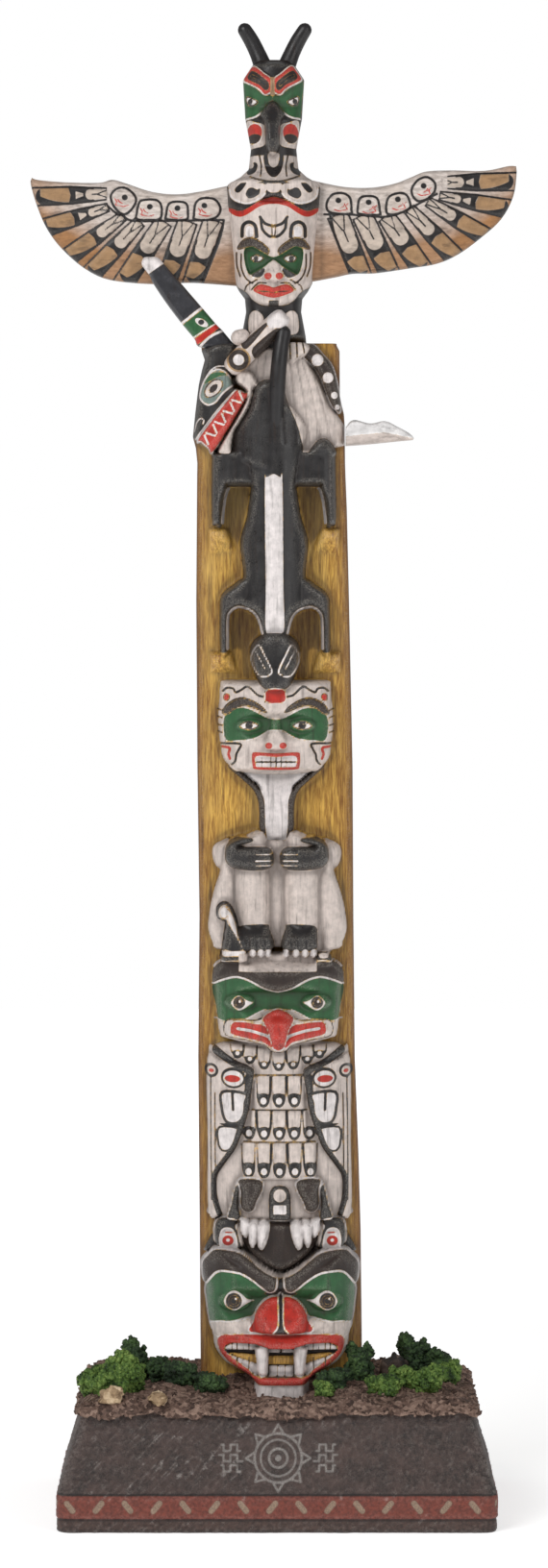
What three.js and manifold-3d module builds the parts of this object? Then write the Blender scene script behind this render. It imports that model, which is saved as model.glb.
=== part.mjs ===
// Miniature totem pole: a painted cast-resin copy of a carved cedar pole, on a cast slate-like
// base with glued soil, foam foliage and loose stones.
// Millimetres, +Z up, the figures face -Y, the origin is the middle of the base's underside.
import * as THREE from 'three';
import { mergeVertices } from 'three/addons/utils/BufferGeometryUtils.js';
import Module from 'manifold-3d';

const wasm = await Module();
wasm.setup();

// ---------------------------------------------------------------- driving dimensions
const GAP = 0.3; // clearance between pieces that meet
const TOTAL_HEIGHT = 400;

const BASE = {
  width: 117, depth: 89, footHeight: 9.7, topWidth: 103.6, topDepth: 75.4, height: 32, corner: 4, topEdge: 1.6,
};
const SOIL = { thickness: 4.2, overhang: 1.6, drop: 4, sectors: 32, rings: [0, 0.36, 0.66, 0.86, 0.97, 1] };
const LOG = { width: 42, topWidth: 40.4, front: -4.5, back: 14, top: 314, offset: -0.6 };

// Height of each figure's lowest point
const SEAT = { bear: 34, birdBody: 79, birdHead: 125, sitter: 150, sitterHead: 199.5, wolf: 218, whale: 285,
  thunderbird: 315, thunderbirdHead: 355 };

// The casting leans a little: its middle line runs from +1 mm at the bear to -0.9 mm at the whale
const LEAN = { x: 1.0, from: 55, perMm: -0.0085, least: -0.9 };

const WING = { reach: 53.4, tipRise: 2.2, front: -6.2, back: 0.3, tipFront: -4.4, tipBack: -1.6 };
const WING_SIDES = [
  { name: 'wing_left', side: -1, lift: 0, tilt: 0 },
  { name: 'wing_right', side: 1, lift: 1.1, tilt: 2.2 },
];

const COLOURS = {
  slate: 0x3a302d, soil: 0x6d5648, wood: 0xb07a2c, cream: 0xd9cdc4, wing: 0xb58a60, black: 0x23211f,
  white: 0xe9e6e2, moss: 0x3f6b26, darkMoss: 0x25351f, stone: 0xb09a80, darkStone: 0x3d3029,
};

// ---------------------------------------------------------------- solids from three.js geometry
function solid(geometry) {
  const bare = geometry.clone();
  bare.deleteAttribute('normal');
  bare.deleteAttribute('uv');
  const merged = mergeVertices(bare, 1e-4);
  const corners = merged.index.array;
  const triangles = [];
  for (let i = 0; i < corners.length; i += 3) {
    const [a, b, c] = [corners[i], corners[i + 1], corners[i + 2]];
    // A lathe or sphere has triangles of no area where it meets its axis
    if (a !== b && b !== c && c !== a) triangles.push(a, b, c);
  }
  return new wasm.Manifold(new wasm.Mesh({
    numProp: 3,
    vertProperties: new Float32Array(merged.attributes.position.array),
    triVerts: new Uint32Array(triangles),
  }));
}

// A closed outline; a corner is rounded where its sides are long enough for the arc and the bevel
function outlineShape(points, round = 0, bevel = 0) {
  const shape = new THREE.Shape();
  const corners = points.map(([x, z]) => new THREE.Vector2(x, z));
  const count = corners.length;
  corners.forEach((corner, i) => {
    const towardsLast = corners[(i + count - 1) % count].clone().sub(corner);
    const towardsNext = corners[(i + 1) % count].clone().sub(corner);
    const halfAngle = Math.abs(towardsLast.angleTo(towardsNext)) / 2;
    const wanted = Math.max(round, (1.7 * bevel) / Math.tan(halfAngle));
    const room = Math.min(towardsLast.length(), towardsNext.length()) / 2.2;
    const cut = round > 0 && wanted <= room ? wanted : 0;
    const start = corner.clone().addScaledVector(towardsLast.normalize(), cut);
    const end = corner.clone().addScaledVector(towardsNext.normalize(), cut);
    if (i === 0) shape.moveTo(start.x, start.y);
    else shape.lineTo(start.x, start.y);
    if (cut > 0) shape.quadraticCurveTo(corner.x, corner.y, end.x, end.y);
  });
  shape.closePath();
  return shape;
}

// The outline of a thing that is the same on both sides, from the points of its right half
function twoSided(half) {
  const left = half.filter(([x]) => x > 0).map(([x, z]) => [-x, z]).reverse();
  return [...half, ...left];
}

const flip = (points, side) => points.map(([x, z]) => [side * x, z]);

// A slab cut to an (x, z) outline, its front face at y = front
function slab(points, front, back, { round = 0, bevel = 0.7 } = {}) {
  const geometry = new THREE.ExtrudeGeometry(outlineShape(points, round, bevel), {
    depth: back - front - 2 * bevel,
    bevelEnabled: bevel > 0,
    bevelThickness: bevel,
    bevelSize: bevel,
    bevelOffset: -bevel,
    bevelSegments: 1,
    curveSegments: 1,
  });
  geometry.rotateX(Math.PI / 2);
  geometry.translate(0, back - bevel, 0);
  return geometry;
}

// A (y, z) side profile run across the whole width
function across(profile, halfWidth) {
  const geometry = new THREE.ExtrudeGeometry(outlineShape(profile), {
    depth: 2 * halfWidth, bevelEnabled: false,
  });
  geometry.applyMatrix4(new THREE.Matrix4().makeBasis(
    new THREE.Vector3(0, 1, 0), new THREE.Vector3(0, 0, 1), new THREE.Vector3(1, 0, 0)));
  geometry.translate(-halfWidth, 0, 0);
  return geometry;
}

// An upright elliptical column
function drum(radiusX, radiusY, y, bottom, top, { x = 0, sides = 22 } = {}) {
  const geometry = new THREE.CylinderGeometry(1, 1, top - bottom, sides);
  geometry.rotateX(Math.PI / 2);
  geometry.scale(radiusX, radiusY, 1);
  geometry.translate(x, y, (top + bottom) / 2);
  return geometry;
}

function egg(centre, radii, around = 8, up = 6) {
  const geometry = new THREE.SphereGeometry(1, around, up);
  geometry.rotateX(Math.PI / 2);
  geometry.scale(...radii);
  geometry.translate(...centre);
  return geometry;
}

// A tapering limb with round ends
function limb(from, to, startRadius, endRadius, sides = 6) {
  const start = new THREE.Vector3(...from);
  const end = new THREE.Vector3(...to);
  const length = start.distanceTo(end);
  const profile = [];
  const arcSteps = 2;
  for (let i = 0; i <= arcSteps; i += 1) {
    const angle = -Math.PI / 2 + (i / arcSteps) * (Math.PI / 2);
    profile.push(new THREE.Vector2(Math.cos(angle) * startRadius, Math.sin(angle) * startRadius));
  }
  for (let i = 0; i <= arcSteps; i += 1) {
    const angle = (i / arcSteps) * (Math.PI / 2);
    profile.push(new THREE.Vector2(Math.cos(angle) * endRadius, length + Math.sin(angle) * endRadius));
  }
  profile[0].x = 0;
  profile[profile.length - 1].x = 0;
  const geometry = new THREE.LatheGeometry(profile, sides);
  const turn = new THREE.Quaternion().setFromUnitVectors(
    new THREE.Vector3(0, 1, 0), end.clone().sub(start).normalize());
  geometry.applyQuaternion(turn);
  geometry.translate(...from);
  return geometry;
}

// A figure is carved by adding, cutting and trimming, in heights above its own seat
class Carving {
  constructor(seat) {
    this.seat = seat;
    this.body = null;
  }

  lifted(geometry) {
    return solid(geometry.translate(0, 0, this.seat));
  }

  add(...geometries) {
    for (const geometry of geometries) {
      const piece = this.lifted(geometry);
      this.body = this.body ? this.body.add(piece) : piece;
    }
    return this;
  }

  // Adds a slab whose front follows the rounding of a column
  addRounded(slabGeometry, drumGeometry) {
    const piece = this.lifted(slabGeometry).intersect(this.lifted(drumGeometry));
    this.body = this.body ? this.body.add(piece) : piece;
    return this;
  }

  cut(...geometries) {
    for (const geometry of geometries) this.body = this.body.subtract(this.lifted(geometry));
    return this;
  }

  trim(...geometries) {
    for (const geometry of geometries) this.body = this.body.intersect(this.lifted(geometry));
    return this;
  }
}

const SIDES = [-1, 1];

// ---------------------------------------------------------------- the log and its figures
function log() {
  const half = LOG.width / 2;
  const section = new THREE.Shape();
  section.moveTo(-half, -1);
  section.quadraticCurveTo(-half + 0.5, -3.2, -half + 4, -3.6);
  section.quadraticCurveTo(0, LOG.front - 1.2, half - 4, -3.6);
  section.quadraticCurveTo(half - 0.5, -3.2, half, -1);
  section.lineTo(half, 4);
  section.quadraticCurveTo(half - 1, LOG.back - 1, half - 8, LOG.back);
  section.lineTo(-half + 8, LOG.back);
  section.quadraticCurveTo(-half + 1, LOG.back - 1, -half, 4);
  section.closePath();
  const geometry = new THREE.ExtrudeGeometry(section, {
    depth: LOG.top - BASE.height - GAP, bevelEnabled: false, curveSegments: 4, steps: 6,
  });
  geometry.translate(LOG.offset, 0, BASE.height + GAP);
  const place = geometry.attributes.position;
  for (let i = 0; i < place.count; i += 1) {
    const share = (place.getZ(i) - BASE.height) / (LOG.top - BASE.height);
    place.setX(i, place.getX(i) * (1 + share * (LOG.topWidth / LOG.width - 1)));
  }
  return solid(geometry);
}

function bear() {
  const jaw = [[6.5, 0], [8, 1.2], [16.5, 7.5], [18.2, 10], [19.5, 17.4], [20.6, 25], [21, 30.5], [18, 34.8],
    [14.5, 37.2], [9, 36], [0, 31]];
  const carving = new Carving(SEAT.bear)
    .add(slab(twoSided(jaw), -27, 8, { bevel: 0 }))
    .trim(drum(23.2, 26.5, 2, -2, 46))
    .trim(across([[9, -2], [-22, -1], [-24.2, 2.5], [-24.4, 13], [-20.5, 16.5], [-17, 21], [-16.6, 24.5],
      [-20.4, 27.5], [-20, 33], [-14, 39], [9, 46]], 24));
  // Open mouth with its lips, fangs and two rows of teeth
  const gape = [[5.4, 4.2], [14.4, 10], [14.2, 12.2], [0, 13.2]];
  carving.cut(slab(twoSided(gape), -30, -17.5, { bevel: 0 }));
  for (const side of SIDES) {
    carving.add(slab(flip([[3.6, 3.4], [6.4, 3.4], [6.6, 13.4], [3.4, 13.4]], side), -23.2, -16, { bevel: 0.4 }));
    carving.add(slab(flip([[6.2, 3.6], [14.6, 9.9], [14.2, 11.1], [6.2, 6.6]], side), -19.6, -16, { bevel: 0 }));
    carving.add(slab(flip([[6.2, 13.6], [14.6, 12.4], [14.4, 11.1], [6.2, 11.2]], side), -19.8, -16, { bevel: 0 }));
    // Brow, drooping towards the nose
    const brow = [[-0.6, 26.4], [2, 27.6], [7.5, 30.6], [13, 31.6], [18.6, 28.2], [20.8, 30.6], [18.6, 34.6],
      [14.6, 37], [8.8, 35.6], [2, 31.6]];
    carving.addRounded(slab(flip(brow, side), -23.5, -8, { round: 1, bevel: 0 }), drum(23.6, 23.2, 1.6, 20, 40));
    // Eyeball under the brow
    carving.add(egg([12.4 * side, -13.6, 24.2], [4.6, 6.6, 3]));
    // Ear, hollowed
    const ear = [[11.2, 33], [17.6, 33], [17.4, 43.2], [15.2, 44.4], [12.6, 43.6], [11.6, 40.5]];
    carving.add(slab(flip(ear, side), -12.5, 4, { bevel: 0.8 }));
    carving.cut(slab(flip([[13.2, 36.4], [16, 36.4], [15.8, 41.6], [13.4, 41.6]], side), -14, -11.6, { bevel: 0 }));
  }
  // Snout and the rounded forehead between the ears
  const snout = [[6.9, 14.8], [7.4, 18], [6.3, 22.8], [3.6, 26.2], [0, 27]];
  carving.addRounded(slab(twoSided(snout), -27, -12, { bevel: 0 }), drum(9, 13.5, -13, 10, 30));
  carving.add(egg([0, -6.5, 38.5], [11.6, 9.5, 8]));
  return carving.body;
}

function birdBody() {
  const sideEdge = [[16.6, 0.5], [18.9, 7], [18.9, 43], [17.4, 46.4], [12.5, 47.6], [0, 47.6]];
  const carving = new Carving(SEAT.birdBody)
    .add(slab(twoSided(sideEdge), -20, 4, { bevel: 0 }))
    .trim(drum(20.8, 16.6, 2, -4, 52));
  for (const side of SIDES) {
    // Folded wing
    const wing = [[7, 41], [7.6, 30.5], [9.7, 21.8], [14.4, 15], [16.8, 10.6], [17.4, 6.6], [16, 0.4], [19.2, 1.6],
      [19.2, 42.6], [17.6, 46.6]];
    carving.addRounded(slab(flip(wing, side), -19, 0, { bevel: 0 }), drum(21.4, 19.2, 2, -4, 52));
    // Shoulder roll under the head
    const shoulder = [[17.8, 47], [18.6, 43.4], [13, 40.6], [7.2, 38.6], [7, 41.4], [10, 44.5], [14, 47.4]];
    carving.addRounded(slab(flip(shoulder, side), -20, 0, { bevel: 0 }), drum(21.6, 20.2, 2, 30, 52));
    // Thigh and two claws that hook down over the bear's forehead
    const thigh = [[4.4, 11.4], [9.4, 12], [14, 9], [12.4, 2.4], [4.2, 1.8]];
    carving.add(slab(flip(thigh, side), -18.2, -6, { round: 1.2, bevel: 1 }));
    for (const x of [4.4 * side, 7.8 * side]) {
      carving.add(limb([x, -15.6, 1.4], [x, -17, -5.4], 1.9, 1));
    }
  }
  // Rows of feather tips down the breast
  const feather = { width: 2.8, length: 6.4, front: -15.6 };
  [[38.6, 3], [29.4, 5], [19.6, 5]].forEach(([height, count]) => {
    for (let i = 0; i < count; i += 1) {
      const x = (i - (count - 1) / 2) * (feather.width + 0.9);
      const tip = [[x - 1.4, height], [x - 1.4, height - 5], [x, height - feather.length],
        [x + 1.4, height - 5], [x + 1.4, height]];
      carving.add(slab(tip, feather.front, -10, { bevel: 0 }));
    }
  });
  // Tail with its ring
  carving.add(slab(twoSided([[2.8, 0.6], [3, 6], [2.4, 10], [0, 10.6]]), -16.8, -8));
  return carving.body;
}

function birdHead() {
  const cheek = [[5.5, 0.8], [13.6, 2], [15.6, 4.4], [17, 12], [17.2, 20], [16.4, 22.2], [8.4, 23], [0, 23]];
  const carving = new Carving(SEAT.birdHead)
    .add(slab(twoSided(cheek), -24, 4, { bevel: 0 }))
    .trim(drum(19.6, 19.2, 0, -2, 28))
    .trim(across([[6, -1], [-15.4, 0], [-17.4, 3], [-17.6, 8.5], [-15, 12], [-15.2, 15.4], [-19.2, 17.8],
      [-18.6, 21.5], [-14.5, 24], [6, 24]], 22));
  const beak = [[1, 0.3], [3, 3.6], [3.8, 10.6], [0, 11.6]];
  const beakSide = [[-12, 12], [-17.6, 11.4], [-22.4, 7.6], [-23.4, 4.6], [-22.2, 1], [-19, -0.2], [-12, 1]];
  const bill = new Carving(SEAT.birdHead).add(slab(twoSided(beak), -26, -10, { bevel: 0.8 }))
    .trim(across(beakSide, 8));
  carving.body = carving.body.add(bill.body);
  for (const side of SIDES) {
    const lip = [[0, 8], [5, 8.4], [12.8, 6.6], [12.6, 4.6], [5, 3], [0, 3.4]];
    carving.addRounded(slab(flip(lip, side), -22, -8, { bevel: 0 }), drum(19.8, 19.8, 0, 0, 12));
    carving.add(egg([10.6 * side, -10.6, 12.8], [4.2, 6.6, 2.4]));
  }
  carving.add(slab(twoSided([[8.2, 21], [8.2, 25.2], [0, 25.2]]), -14.6, -4, { bevel: 0.8 }));
  return carving.body;
}

function seatedFigure() {
  const carving = new Carving(SEAT.sitter);
  // Trunk and neck run up into the head as a flared column with darker edges
  const neck = [[0, 30], [4.6, 30], [4.6, 40], [6.2, 44.4], [11.4, 50.4], [0, 50.4]];
  carving.add(slab(twoSided(neck), -9, 2, { bevel: 1 }));
  for (const side of SIDES) {
    const edge = [[3, 30], [4.8, 30], [4.8, 40], [6.4, 44.4], [12.4, 50.2], [9.6, 50.2], [4.4, 44.4], [3.1, 41]];
    carving.add(slab(flip(edge, side), -10.4, 0, { bevel: 0 }));
    // Leg: thigh and shin drawn up, bulging outwards at the calf
    const leg = [[1, 2], [15, 1.6], [17.8, 4.6], [18.4, 9.4], [17.2, 15.4], [15.4, 23], [14.4, 30], [9, 32], [1, 31]];
    carving.addRounded(slab(flip(leg, side), -20, 0, { bevel: 0 }),
      drum(10.4, 12.6, -3, -2, 36, { x: 9 * side, sides: 20 }));
    // Forearm laid across the knee, with the hand on it
    carving.add(limb([14.2 * side, -8, 28.4], [8 * side, -12.4, 29], 4.9, 4.4, 8));
    const hand = [[1.5, 24.6], [3, 23.4], [10, 23.2], [13.4, 25.2], [13.9, 28], [12.8, 31], [9.5, 32.2], [6.6, 30.6],
      [1.5, 29.6]];
    carving.add(slab(flip(hand, side), -18.8, -6, { bevel: 1.2 }));
    // Fingers are parted by three grooves
    for (let finger = 0; finger < 3; finger += 1) {
      const z = 24.9 + finger * 1.35;
      carving.cut(slab(flip([[0.8, z], [6.2, z], [6.2, z + 0.35], [0.8, z + 0.35]], side), -20, -17.9, { bevel: 0 }));
    }
    const foot = [[1.6, 1], [10.8, 1], [9.9, 8.6], [3.6, 8.8]];
    carving.add(slab(flip(foot, side), -18.6, -4, { bevel: 1.2 }));
  }
  // Hooked ear that stands up in front of the left leg, and the stub of its broken twin
  const hook = [[-8.2, -3], [-10.6, 8.2], [-12.4, 12.6], [-14.6, 14.4], [-16.5, 13.4], [-16.8, 11], [-15.2, 8.9],
    [-14.2, 8.6], [-15, -3]];
  carving.add(slab(hook, -18.6, -12, { round: 0.8, bevel: 0.5 }));
  carving.add(slab([[10.2, -3], [14.6, -3], [14, 0.8], [12, 1.4]], -17, -10, { bevel: 0.5 }));
  return carving.body;
}

function seatedFigureHead() {
  const face = [[9.7, 0.2], [12.2, 1.1], [14.3, 3.8], [15.3, 8.6], [15.6, 16], [15.2, 24.4], [12, 27], [0, 27.4]];
  const carving = new Carving(SEAT.sitterHead)
    .add(slab(twoSided(face), -21, 2, { bevel: 0 }))
    .trim(drum(17.8, 17.8, 0, -2, 30))
    .trim(across([[4, -1], [-14, 0], [-16.8, 1.4], [-17, 8], [-14.6, 11], [-14.4, 14], [-17.8, 16.6], [-17.4, 20],
      [-15, 27.6], [4, 28]], 20));
  for (const side of SIDES) {
    const brow = [[2, 15.6], [8.6, 18.4], [14.4, 15.2], [15, 17.4], [9, 20.4], [2.2, 17.6]];
    carving.addRounded(slab(flip(brow, side), -21, -6, { bevel: 0 }), drum(18, 18.8, 0, 10, 24));
    carving.add(egg([7.2 * side, -11.4, 12.4], [4, 5, 2.3]));
    carving.add(egg([1.9 * side, -16.8, 7], [1.6, 2.4, 1.2]));
  }
  carving.add(slab(twoSided([[2.2, 5.8], [1.4, 15], [0, 15.6]]), -18.8, -8, { bevel: 0.9 }));
  carving.addRounded(slab(twoSided([[6.6, 0.9], [6.8, 4.8], [0, 5.2]]), -21, -6, { round: 0.8, bevel: 0 }),
    drum(18, 18.6, 0, -1, 8));
  carving.cut(slab(twoSided([[5.6, 1.9], [5.8, 3.9], [0, 4.1]]), -22, -17.2, { bevel: 0 }));
  return carving.body;
}

function wolf() {
  const carving = new Carving(SEAT.wolf);
  // Body hangs head down, narrow at the waist
  const trunk = [[3.2, 17], [5.6, 22], [9.4, 24.6], [9.8, 30.4], [8.6, 33], [9, 40.5], [7.6, 47.5], [7.4, 56],
    [9.6, 60], [9.6, 70], [4, 84], [0, 85]];
  carving.addRounded(slab(twoSided(trunk), -18, 0, { bevel: 0 }), drum(11.4, 13.4, -3, 10, 90, { sides: 18 }));
  for (const side of SIDES) {
    // Front leg: shoulder, then the paw reaching down the log
    const front = [[7, 33], [10.8, 31.4], [14.4, 27.8], [14.6, 13.4], [12.6, 14], [12.4, 22.6], [9.2, 25.2],
      [5.2, 22.8]];
    carving.add(slab(flip(front, side), -13.6, 0, { bevel: 0.9 }));
    // Hind leg: a square haunch with the shank down from its outer end
    const hind = [[4, 66.9], [15.8, 66.9], [16.6, 64], [16.4, 47], [12.8, 48.4], [12.6, 55.5], [11, 57.7], [6, 57.7]];
    carving.add(slab(flip(hind, side), -13.8, 0, { bevel: 0.9 }));
  }
  // Rump and the tail that runs up the figure above
  const rump = [[0, 64], [9.6, 64], [10.2, 71], [7, 78], [3.6, 84], [0, 86]];
  carving.addRounded(slab(twoSided(rump), -20, 0, { bevel: 0 }), drum(12.4, 14.4, -2, 60, 92, { sides: 18 }));
  carving.add(limb([-1.2, -13.8, 70], [0.6, -15.4, 99.5], 2.5, 2.5, 8));
  // Head seen from above, with its ears laid back, and the tongue below
  const head = [[2.4, 4], [3.4, 6], [6.6, 12.6], [7, 15.4], [5.6, 18.6], [0, 19.4]];
  carving.addRounded(slab(twoSided(head), -21, -2, { round: 0.8, bevel: 0 }), drum(8.4, 12.4, -7.6, 0, 24));
  for (const side of SIDES) carving.add(egg([3.6 * side, -16.2, 12.2], [2.2, 2.4, 3.4]));
  carving.add(slab(twoSided([[2.5, 0.2], [2.7, 3.4], [0, 4.4]]), -17.4, -8, { bevel: 0.5 }));
  return carving.body;
}

function whale() {
  const carving = new Carving(SEAT.whale);
  // Pale grained body behind the wolf's tail, spreading down to both sides
  const bell = [[0, 0], [18.6, 0.6], [18.9, 4], [18.2, 9], [13, 21], [9, 27.6], [4, 31.5], [0, 32.6]];
  carving.addRounded(slab(twoSided(bell), -16, 0, { bevel: 0 }), drum(21.5, 12.6, 0.6, -2, 40));
  // Head on the left, its mouth a raised slanting bar
  const head = [[-19.3, 27.4], [-18.9, 22.5], [-20.8, 11.3], [-21.7, 4.8], [-20.2, 2.4], [-16.6, 0.6], [-13.4, 4.6],
    [-7.8, 15.2], [-8.4, 19], [-9.6, 25], [-10.4, 29.8]];
  carving.add(slab(head, -14, 0, { bevel: 0.8 }));
  carving.add(slab([[-19.4, 2.2], [-16.2, 0.8], [-6.8, 14.6], [-7.4, 17.6], [-9.8, 17.4]], -15.6, -6,
    { bevel: 0.8 }));
  carving.add(egg([-16, -12.2, 17.6], [3.2, 2.6, 4.4]));
  // Foot of the bird above: a bar slanting down to the whale, a ring and a knuckle
  const bar = [[1.6, 35.4], [-2.2, 35.8], [-13.2, 26.2], [-11.6, 23.6], [-8.8, 23.4], [1.9, 32.2]];
  carving.add(slab(bar, -18.4, -6, { bevel: 0.8 }));
  carving.add(egg([-9.2, -14.4, 23.6], [3.4, 3, 3.4]));
  carving.add(egg([-8.9, -12, 30.4], [2.6, 3, 2.6]));
  // Arm of suckers down the right side, each smaller than the one above
  const arm = [[8.6, 29.4], [13.4, 28.4], [17.6, 17], [18.6, 9.4], [16.6, 8.6], [14, 15], [9.4, 24.2]];
  carving.add(slab(arm, -12.2, -2, { bevel: 0.6 }));
  [[11.8, 24.2, 1.7], [14.4, 19.7, 1.5], [16, 15, 1.2], [17, 11.6, 0.9]].forEach(([x, z, radius]) => {
    carving.add(egg([x, -12, z], [radius, 0.9, radius]));
  });
  return carving.body;
}

function thunderbirdBody() {
  // The body's sides are the seams that the wings are set against
  const body = [[0, -3], [9.4, -3], [8, 3.4], [8.4, 9], [11, 15], [12.6, 35], [13, 40.6], [11.2, 42], [8, 44],
    [6.4, 47], [0, 48]];
  const carving = new Carving(SEAT.thunderbird)
    .add(slab(twoSided(body), -14, 6, { bevel: 0 }))
    .trim(drum(15.5, 12.6, -1.5, -6, 50));
  // Oval face on the breast
  const face = [[0, 8.4], [5, 9.6], [8.8, 12.4], [11.2, 17.8], [11.3, 33], [9.5, 34.6], [0, 37]];
  carving.addRounded(slab(twoSided(face), -17.5, -2, { round: 1.2, bevel: 0 }),
    drum(12.2, 12.8, -3.4, 4, 40));
  for (const side of SIDES) {
    const brow = [[1.2, 22.4], [5.8, 25.4], [9.2, 24], [9.8, 25.6], [5.8, 27.6], [1.4, 24.2]];
    carving.addRounded(slab(flip(brow, side), -18, -4, { bevel: 0 }), drum(12.4, 13.6, -3.4, 20, 30));
    carving.add(egg([5.1 * side, -11.6, 21.2], [2.6, 3.8, 1.8]));
    // Shin between the breast and the whale
    carving.add(limb([5.2 * side, -8.6, 1], [4.9 * side, -9, 6], 2.2, 2.6, 8));
  }
  carving.add(slab(twoSided([[2.3, 15.2], [1.2, 23], [0, 23.4]]), -18.2, -8, { bevel: 0.9 }));
  const lips = [[0, 10.8], [3.2, 10.4], [5.8, 12.2], [2, 14.6], [0, 14.2]];
  carving.addRounded(slab(twoSided(lips), -19, -6, { bevel: 0 }), drum(12.4, 13.8, -3.4, 6, 18));
  return carving.body;
}

function thunderbirdHead() {
  const head = [[0, 1], [7.2, 2.6], [6.2, 6], [6, 11.6], [7.2, 17], [7.6, 19.4], [8.4, 29.4], [6, 33.4],
    [0, 33.8]];
  const carving = new Carving(SEAT.thunderbirdHead)
    .add(slab(twoSided(head), -12, 6, { bevel: 1 }))
    .trim(across([[6, -2], [-11.4, -1], [-9.6, 6], [-10.4, 12], [-11.6, 18], [-9.4, 22], [-9.4, 26], [-11.8, 28.6],
      [-10.4, 33], [-4, 34], [6, 33]], 14));
  // Beak: a wedge that hooks down over the chin
  const bill = new Carving(SEAT.thunderbirdHead)
    .add(slab(twoSided([[1.4, 5.2], [2.3, 12], [2.2, 24], [0, 25.4]]), -19, -4, { bevel: 0.7 }))
    .trim(across([[-4, 26], [-11, 25], [-16.6, 18], [-17.8, 12.6], [-16.8, 6.6], [-14.6, 4.8], [-13, 9], [-4, 9]], 4));
  carving.body = carving.body.add(bill.body);
  for (const side of SIDES) {
    const brow = [[0.8, 25.4], [6.6, 29.6], [7.2, 33], [1.4, 28.6]];
    carving.add(slab(flip(brow, side), -13.2, -4, { bevel: 0.5 }));
    carving.add(egg([5.2 * side, -8.6, 23], [2.4, 2.6, 1.9]));
    carving.add(egg([4.8 * side, -8.6, 15.4], [3, 3.4, 2.3]));
    // Horn
    carving.add(limb([3.6 * side, -2.4, 32.4], [7.7 * side, -2.4, TOTAL_HEIGHT - SEAT.thunderbirdHead - 1.7],
      2.5, 1.7, 8));
  }
  return carving.body;
}

function leanAt(z) {
  return Math.max(LEAN.least, LEAN.x + LEAN.perMm * (z - LEAN.from));
}

function leaned(geometry) {
  const place = geometry.attributes.position;
  for (let i = 0; i < place.count; i += 1) place.setX(i, place.getX(i) + leanAt(place.getZ(i)));
  return geometry;
}

function pole() {
  const figures = [bear(), birdBody(), birdHead(), seatedFigure(), seatedFigureHead(), wolf(), whale(),
    thunderbirdBody(), thunderbirdHead()];
  return figures.reduce((whole, figure) => whole.add(figure), log());
}

// ---------------------------------------------------------------- wings and fins
function wing({ side, lift, tilt }) {
  const root = { top: [13.3, 355.6], bottom: [11.4, 329.6] };
  const along = [root.top, [19.6, 354.5], [26.2, 353.8], [33, 354.5], [40, 357], [43.4, 358], [46.4, 356.9],
    [55.4, 357.1], [62.8, 357.7], [64.9, 358.4], [65.2, 357.2], [63.2, 350.3], [60.6, 344.6], [56.6, 339.2],
    [50.6, 334], [43.8, 331], [38, 330.2], [27, 330], [21, 330.2], root.bottom];
  const turn = THREE.MathUtils.degToRad(tilt);
  const turned = along.map(([x, z]) => {
    const fromRoot = x - root.bottom[0];
    return [x, z + lift + fromRoot * Math.tan(turn)];
  });
  const geometry = slab(flip(turned, side), WING.front, WING.back, { bevel: 0.9 });
  // Thinner towards the tip
  const place = geometry.attributes.position;
  for (let i = 0; i < place.count; i += 1) {
    const share = Math.max(0, (Math.abs(place.getX(i)) - root.bottom[0]) / WING.reach);
    const share1 = Math.min(1, share);
    const front = THREE.MathUtils.lerp(WING.front, WING.tipFront, share1);
    const back = THREE.MathUtils.lerp(WING.back, WING.tipBack, share1);
    const across01 = (place.getY(i) - WING.front) / (WING.back - WING.front);
    place.setY(i, front + across01 * (back - front));
  }
  return solid(geometry);
}

function dorsalFin() {
  const points = [[-20.4, 312.9], [-11, 315.3], [-12, 318.6], [-19.6, 324], [-29.2, 334.6], [-31.4, 337.6],
    [-34.6, 337.6], [-35.6, 334.8], [-25.2, 319.8]];
  return solid(slab(points, -12, -6.8, { bevel: 1 }));
}

// A white blade with a ridge along its middle
function sideFin() {
  const blade = [[19.6, 286.4], [28.4, 286.8], [37.4, 288.9], [33.6, 292], [29.8, 293.4], [19.6, 293.2]];
  return solid(slab(blade, -8.6, -3.2, { bevel: 1.4 }));
}

// ---------------------------------------------------------------- base, soil and what lies on it
function rectangle(width, depth, corner) {
  const x = width / 2;
  const y = depth / 2;
  const shape = new THREE.Shape();
  shape.moveTo(-x + corner, -y);
  shape.lineTo(x - corner, -y);
  shape.quadraticCurveTo(x, -y, x, -y + corner);
  shape.lineTo(x, y - corner);
  shape.quadraticCurveTo(x, y, x - corner, y);
  shape.lineTo(-x + corner, y);
  shape.quadraticCurveTo(-x, y, -x, y - corner);
  shape.lineTo(-x, -y + corner);
  shape.quadraticCurveTo(-x, -y, -x + corner, -y);
  return shape;
}

// The base's half width and half depth at a height, as shares of those at the foot
function baseTaper(z) {
  if (z <= BASE.footHeight) return { x: 1, y: 1 };
  const share = (z - BASE.footHeight) / (BASE.height - BASE.footHeight);
  const edge = Math.max(0, z - (BASE.height - BASE.topEdge));
  return {
    x: 1 + share * (BASE.topWidth / BASE.width - 1) - (edge * 1.2) / (BASE.width / 2),
    y: 1 + share * (BASE.topDepth / BASE.depth - 1) - (edge * 1.2) / (BASE.depth / 2),
  };
}

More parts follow.
